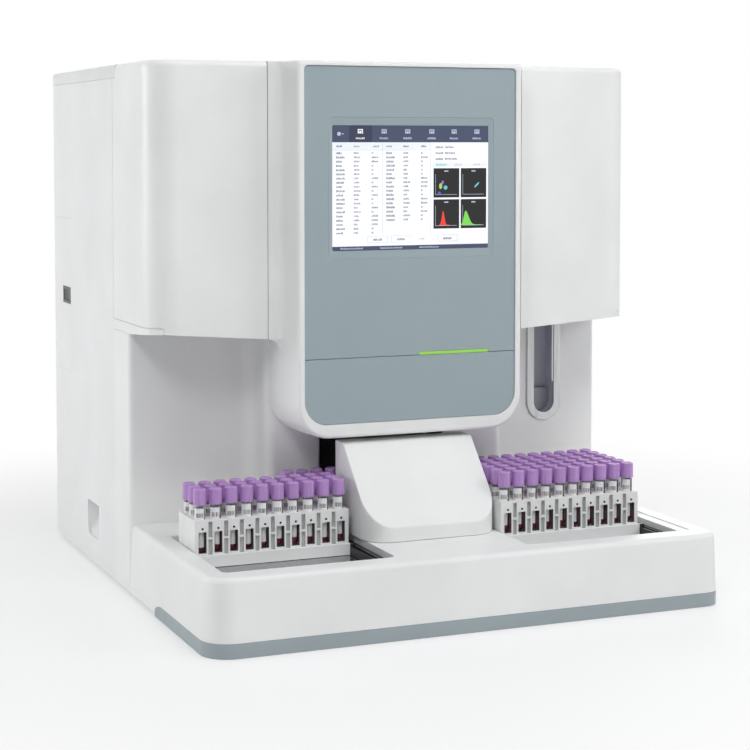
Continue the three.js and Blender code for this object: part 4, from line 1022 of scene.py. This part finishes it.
def moulding():
    """The white front of the lower bay, with the block, its coves and the vial's opening."""
    foot, rear = moulding_low.z, moulding_high.y
    level = TRAY_LEVEL + SEAT
    crown = DECK_LEVEL - SEAT
    shell = prism("moulding_shell", moulding_plan(0, rear, True), "z", level, crown + SOFFIT_RISE)
    add(shell, prism("lower", moulding_plan(0, rear, False), "z", foot, level + HAIR))
    over = [(COVER_Y, TOP), (COVER_Y, crown + SOFFIT_RISE), (WALL_Y, crown), (rear + OVERRUN, crown),
            (rear + OVERRUN, TOP)]
    cut(shell,
        prism("over", over, "x", LEFT - OVERRUN, RIGHT + OVERRUN),
        prism("inside", moulding_plan(SKIN, rear + OVERRUN, True), "z", level - HAIR, TOP),
        prism("inside_low", moulding_plan(SKIN, rear + OVERRUN, False), "z", foot - OVERRUN,
              level + HAIR * 2),
        block("base", (LEFT + SKIN, WALL_Y - OVERRUN, 0), (RIGHT - SKIN, rear + OVERRUN, BASE_TOP)),
        block("behind", (BLOCK_X[0] + BLOCK_SIDE, WALL_Y - OVERRUN, level + OVERRUN),
              (BLOCK_X[1] - BLOCK_SIDE, WALL_Y + SKIN + OVERRUN, CHASE_TOP)),
        block("bay", (PASSAGE_X[0], BLOCK_Y - OVERRUN, level - OVERRUN),
              (PASSAGE_X[1], BLOCK_Y + SKIN + OVERRUN, PASSAGE_TOP)),
        prism("vial", vial_outline(VIAL_HALF - VIAL_WALL, VIAL_TOP - VIAL_WALL), "y", WALL_Y - OVERRUN,
              WALL_Y + SKIN + OVERRUN))
    fit(shell, 0.8, "white_plastic", "front_moulding")


# Open-vial station

NEEDLE_RADIUS = 1.5
NEEDLE_TIP = ((0.9, 0.4), (NEEDLE_RADIUS, 3))
NEEDLE_BITE = 1.0


def open_vial():
    """The steel ring, its recess, the plate that starts a sample and the probe."""
    recess_low, recess_high = box("open_vial_recess")
    recess_half = (recess_high.x - recess_low.x) / 2 - SKIN
    mouth = vial_outline(recess_half, VIAL_TOP - VIAL_WALL * 2)
    ring = prism("vial_ring", vial_outline(VIAL_HALF, VIAL_TOP), "y", vial_low.y, WALL_Y - SEAT, RING_STEEL)
    add(ring, prism("neck", vial_outline(VIAL_HALF - VIAL_WALL - SEAT, VIAL_TOP - VIAL_WALL - SEAT), "y",
                    WALL_Y - SEAT - HAIR, vial_high.y, RING_STEEL))
    cut(ring, prism("mouth", mouth, "y", vial_low.y - OVERRUN, vial_high.y + OVERRUN))
    fit(ring, 0.9, "steel", "open_vial_frame", segments=4)
    cup = prism("vial_recess", vial_outline(recess_half + SKIN, recess_high.z), "y", recess_low.y,
                recess_high.y, RECESS)
    cut(cup, prism("hollow", mouth, "y", recess_low.y - OVERRUN, recess_high.y - SKIN))
    fit(cup, 0.5, "grey_plastic", "open_vial_recess")
    low, high = box("aspirate_key")
    key = prism("aspirate_plate", vial_outline(recess_half - SEAT, high.z), "y", low.y, high.y, KEY_GREY)
    fit(key, 1.2, "grey_plastic", "aspirate_key", body="aspirate_key", segments=4)
    low, high = box("open_vial_probe")
    carriage = DECK_TOP + SEAT
    needle = turned("vial_needle", [
        (0, low.z), *((radius, low.z + rise) for radius, rise in NEEDLE_TIP),
        (NEEDLE_RADIUS, carriage + NEEDLE_BITE), (0, carriage + NEEDLE_BITE),
    ], (VIAL_X, (low.y + high.y) / 2), RING_STEEL)
    head = block("vial_carriage", (low.x, low.y, carriage), high, DARK)
    fit(needle, 0, "steel", "open_vial_probe", body="open_vial_probe")
    fit(head, 1.0, "grey_plastic", body="open_vial_probe")


# Racks and tubes

TUBE_COUNT = 10
TUBE_PITCH = 20.5
TUBE_RADIUS = 6.5
BORE_RADIUS = 6.9
BORE_SIDES = 32
CAP_RADIUS = 8.2
CAP_HEIGHT = 22.0
CAP_LIFT = 1.6
GLASS_RISE = 16.0
TUBE_FLOOR = 16.0
WINDOW_WIDTH = 10.2
WINDOW_LEVELS = (17.0, 43.5)
DOT_RADIUS = 1.5
DOT_SIDES = 16
DOT_LEVEL = 47.6
POCKET_WIDTH = 5.2
POCKET_LEVELS = ((14.0, 33.8), (36.6, 56.1))
POCKET_DEPTHS = (3.2, 4.5)
DOT_DEPTH = 0.8
BOWL_STEPS = 6
TUBE_SIDES = 28
TUBE_SEED = 11
TUBE_WALL = 1.0
TUBE_GAP = 0.4
LIQUID_GAP = 0.2
LIQUID_RANGE = (-3, 9)
CAP_SIDES = 32
CAP_GRIP = 3.0
CAP_PLAY = 0.35
# Steps in from the cap's radius, with heights over its foot and under its top
CAP_FOOT = ((-1.2, 0.8), (-0.5, 0), (0, 0.6), (0, 4))
CAP_CROWN = ((-0.25, -1.6), (-0.7, -0.4), (-1.5, 0), (-2.6, -0.1), (-3.2, -1.0))
CAP_INNER = (1.0, -1.2)
# Labels, with angles in degrees
PAPER = 0.12
INK_DEPTH = 0.05
LABEL_GAPS = (-60, -60, -79, -79)
LABEL_TURN = 325
LABEL_STEPS = 22
LABEL_FOOT = (23, 27)
MARK_START = 12
MARK_COUNT = 7
MARK_STEPS = 2
MARK_WIDTH = (3, 8)
MARK_SPACE = (4, 9)
MARK_LEVELS = (2.5, 8.0)


def rack_body(length, depth, height):
    """A rack at the origin, with its left front lower corner at zero."""
    body = block("rack", (0, 0, 0), (length, depth, height), RACK)
    windows, bores, pockets = [], [], []
    for i in range(TUBE_COUNT):
        x = TUBE_PITCH * (i + 0.5)
        low, high = WINDOW_LEVELS
        # Windows whose jambs are near black as painted shade
        windows.append(block("window", (x - WINDOW_WIDTH / 2, -OVERRUN, low),
                             (x + WINDOW_WIDTH / 2, depth / 2, high), RACK_WINDOW_PAINTED_SHADE))
        bores.append(prism("bore", circle((x, depth / 2), BORE_RADIUS, BORE_SIDES), "z", TUBE_FLOOR,
                           height + OVERRUN, RACK))
        windows.append(prism("dot", circle((x, DOT_LEVEL), DOT_RADIUS, DOT_SIDES), "y", -OVERRUN, DOT_DEPTH,
                             BLACK))
        if i:
            middle = x - TUBE_PITCH / 2
            # Pockets between the tubes, their walls in a darker grey as painted shade
            for (low, high), reach in zip(POCKET_LEVELS, POCKET_DEPTHS):
                pockets.append(block("pocket", (middle - POCKET_WIDTH / 2, -OVERRUN, low),
                                     (middle + POCKET_WIDTH / 2, reach, high), RACK_POCKET_PAINTED_SHADE))
    cut(body, joined("bores", bores), joined("windows", windows), joined("pockets", pockets), painted=True)
    return body


def tube_glass(centre, height, level):
    """The clear tube over its contents."""
    top = height + GLASS_RISE + CAP_GRIP
    inner = TUBE_RADIUS - TUBE_WALL
    base = level + LIQUID_GAP
    return turned("glass", [(0, base), (TUBE_RADIUS, base), (TUBE_RADIUS, top), (inner, top),
                            (inner, level + TUBE_WALL), (0, level + TUBE_WALL)], centre, GLASS, TUBE_SIDES)


def tube_blood(centre, level):
    base = TUBE_FLOOR + TUBE_GAP
    bowl = [(TUBE_RADIUS * sine, base + TUBE_RADIUS * (1 - cosine)) for sine, cosine in quarter(BOWL_STEPS)]
    return turned("blood", bowl + [(TUBE_RADIUS, level), (0, level)], centre, BLOOD, TUBE_SIDES)


def cap_piece(centre, base, dice):
    top = base + CAP_HEIGHT - CAP_LIFT + dice.uniform(-CAP_PLAY, 0.0)
    foot = [(CAP_RADIUS + step, base + rise) for step, rise in CAP_FOOT]
    crown = [(CAP_RADIUS + step, top + rise) for step, rise in CAP_CROWN]
    profile = [(0, base + CAP_INNER[0]), *foot, *crown, (0, top + CAP_INNER[1])]
    return turned("cap", profile, centre, CAP, CAP_SIDES)


def wrap(centre, radius, thickness, start, turn, low, high, material, steps):
    """A strip bent round the tube, of paper or of ink."""
    far = radius + thickness
    rings = []
    for s in range(steps + 1):
        u, v = math.cos(start + turn * s / steps), math.sin(start + turn * s / steps)
        rings.append([(centre[0] + u * r, centre[1] + v * r, z)
                      for r, z in ((radius, low), (far, low), (far, high), (radius, high))])
    return loft("label", rings, material)


def tube_parts(height, depth, gap, dice):
    """The glass, blood, caps, labels and marks of a rack's tubes; the gap turns the label's edge."""
    parts = {"glass": [], "blood": [], "caps": [], "labels": [], "marks": []}
    radius = TUBE_RADIUS + INK_DEPTH
    for i in range(TUBE_COUNT):
        centre = (TUBE_PITCH * (i + 0.5), depth / 2)
        level = height + dice.uniform(*LIQUID_RANGE)
        parts["glass"].append(tube_glass(centre, height, level))
        parts["blood"].append(tube_blood(centre, level))
        parts["caps"].append(cap_piece(centre, height + GLASS_RISE + CAP_LIFT, dice))
        start = math.radians(gap + dice.uniform(-5, 5))
        low = dice.uniform(*LABEL_FOOT)
        high = height + GLASS_RISE + dice.uniform(-2, 0)
        turn = -math.radians(LABEL_TURN)
        parts["labels"].append(wrap(centre, radius, PAPER, start, turn, low, high, LABEL, LABEL_STEPS))
        angle = start - math.radians(MARK_START)
        low, high = (height + rise for rise in MARK_LEVELS)
        for _ in range(MARK_COUNT):
            width = math.radians(dice.uniform(*MARK_WIDTH))
            parts["marks"].append(wrap(centre, radius + PAPER, INK_DEPTH, angle, -width, low, high, INK,
                                       MARK_STEPS))
            angle -= width + math.radians(dice.uniform(*MARK_SPACE))
    return parts


def copied(source, name, offset):
    """A moved copy of a piece, with a mesh of its own."""
    mesh = source.data.copy()
    mesh.transform(Matrix.Translation(Vector(offset) * MM))
    return placed(name, mesh)


def racks():
    """All racks, dressed from one body and four sets of tubes."""
    names = ["lane_rack"]
    names += [f"{side}_rack_{i + 1}" for side, count in (("left", 3), ("right", 6)) for i in range(count)]
    low, high = box(names[0])
    depth = high.y - low.y
    height = high.z - low.z - CAP_HEIGHT - GLASS_RISE
    body = rack_body(high.x - low.x, depth, height)
    variants = []
    for seed, gap in enumerate(LABEL_GAPS):
        dice = random.Random(seed + TUBE_SEED)
        variants.append({kind: joined(f"{kind}_{seed}", pieces)
                         for kind, pieces in tube_parts(height, depth, gap, dice).items()})
    slots = {"glass": "tube_glass", "blood": "blood", "caps": "cap_plastic", "labels": "label_paper",
             "marks": "black_plastic"}
    for count, name in enumerate(names):
        low, high = box(name)
        fit(copied(body, f"{name}_body", low), 0.5, "rack_plastic", name, body=name, segments=2)
        half = len(variants) // 2
        variant = variants[count % half + (half if name.startswith("right") else 0)]
        for kind, source in variant.items():
            fit(copied(source, f"{name}_{kind}", low), 0, slots[kind], body=name)
    bpy.data.objects.remove(body)
    for variant in variants:
        for source in variant.values():
            bpy.data.objects.remove(source)


# Pusher bars, with a hook each that rides in the slotted rail

RAIL_SLOT = (2.0, 7.0)
RAIL_SLOT_DEPTH = 3.0
RAIL_STRIP = (7.4, 8.4)
HOOK_BITE = 0.5


def pusher(node, rail):
    low, high = box(node)
    rail_low, rail_high = box(rail)
    end = rail_low.x - SEAT
    over = rail_high.z + SEAT
    bar = block(f"{node}_bar", low, (end, high.y, high.z), RACK)
    hook = block(f"{node}_hook", (end - HOOK_BITE, low.y, over), high, BLACK)
    add(hook, block("foot", (rail_low.x + RAIL_SLOT[0] + SEAT, low.y, over - RAIL_SLOT_DEPTH),
                    (high.x, high.y, over + HOOK_BITE), BLACK))
    strip = block(f"{rail}_strip", (rail_low.x + RAIL_STRIP[0], rail_low.y, rail_high.z),
                  (rail_low.x + RAIL_STRIP[1], rail_high.y, rail_high.z + SEAT / 2), STEEL)
    fit(bar, 0.6, "rack_plastic", node, body=node)
    fit(hook, 0.5, "black_plastic", body=node)
    fit(strip, 0.1, "steel")


cover("left_door_shell", "left_door", "left_door", -1)
cover("right_cover_shell", "right_front_cover", "cabinet", 1)
housing()
panels()
bezel()
screen_page()
tray()
plinth()
bay_floor()
sampler_cover()
moulding()
open_vial()
racks()
pusher("left_stop_bar", "left_guide")
pusher("right_pusher", "right_guide")

for material, slot, nodes in (
    (PAINT, "white_paint", "left_side_panel right_side_panel service_panel rear_panel"),
    (LID, "white_plastic", "top_lid"),
    (WHITE, "white_plastic", "deck"),
    (DARK, "grey_plastic", "switch_bezel fluid_fittings air_pump needle_guide"),
    (BLACK, "black_plastic", "mains_switch cooling_fan mains_inlet left_guide right_guide"),
    (STEEL, "steel", "fan_grille bulkhead reagent_shelf syringe_unit optical_bench power_supply base_plate"),
    (RING_STEEL, "steel", "sampling_needle"),
    (AMBER, "amber_plastic", "reagent_bottle_1 reagent_bottle_2 reagent_bottle_3"),
    (RUBBER, "rubber", "foot_front_left foot_front_right foot_rear_left foot_rear_right"),
):
    for node in nodes.split():
        dress(node, material)
# Painted shade: the deck's underside in grey, to darken the shadow on the wall below it
underside("deck", UNDERSIDE_PAINTED_SHADE)
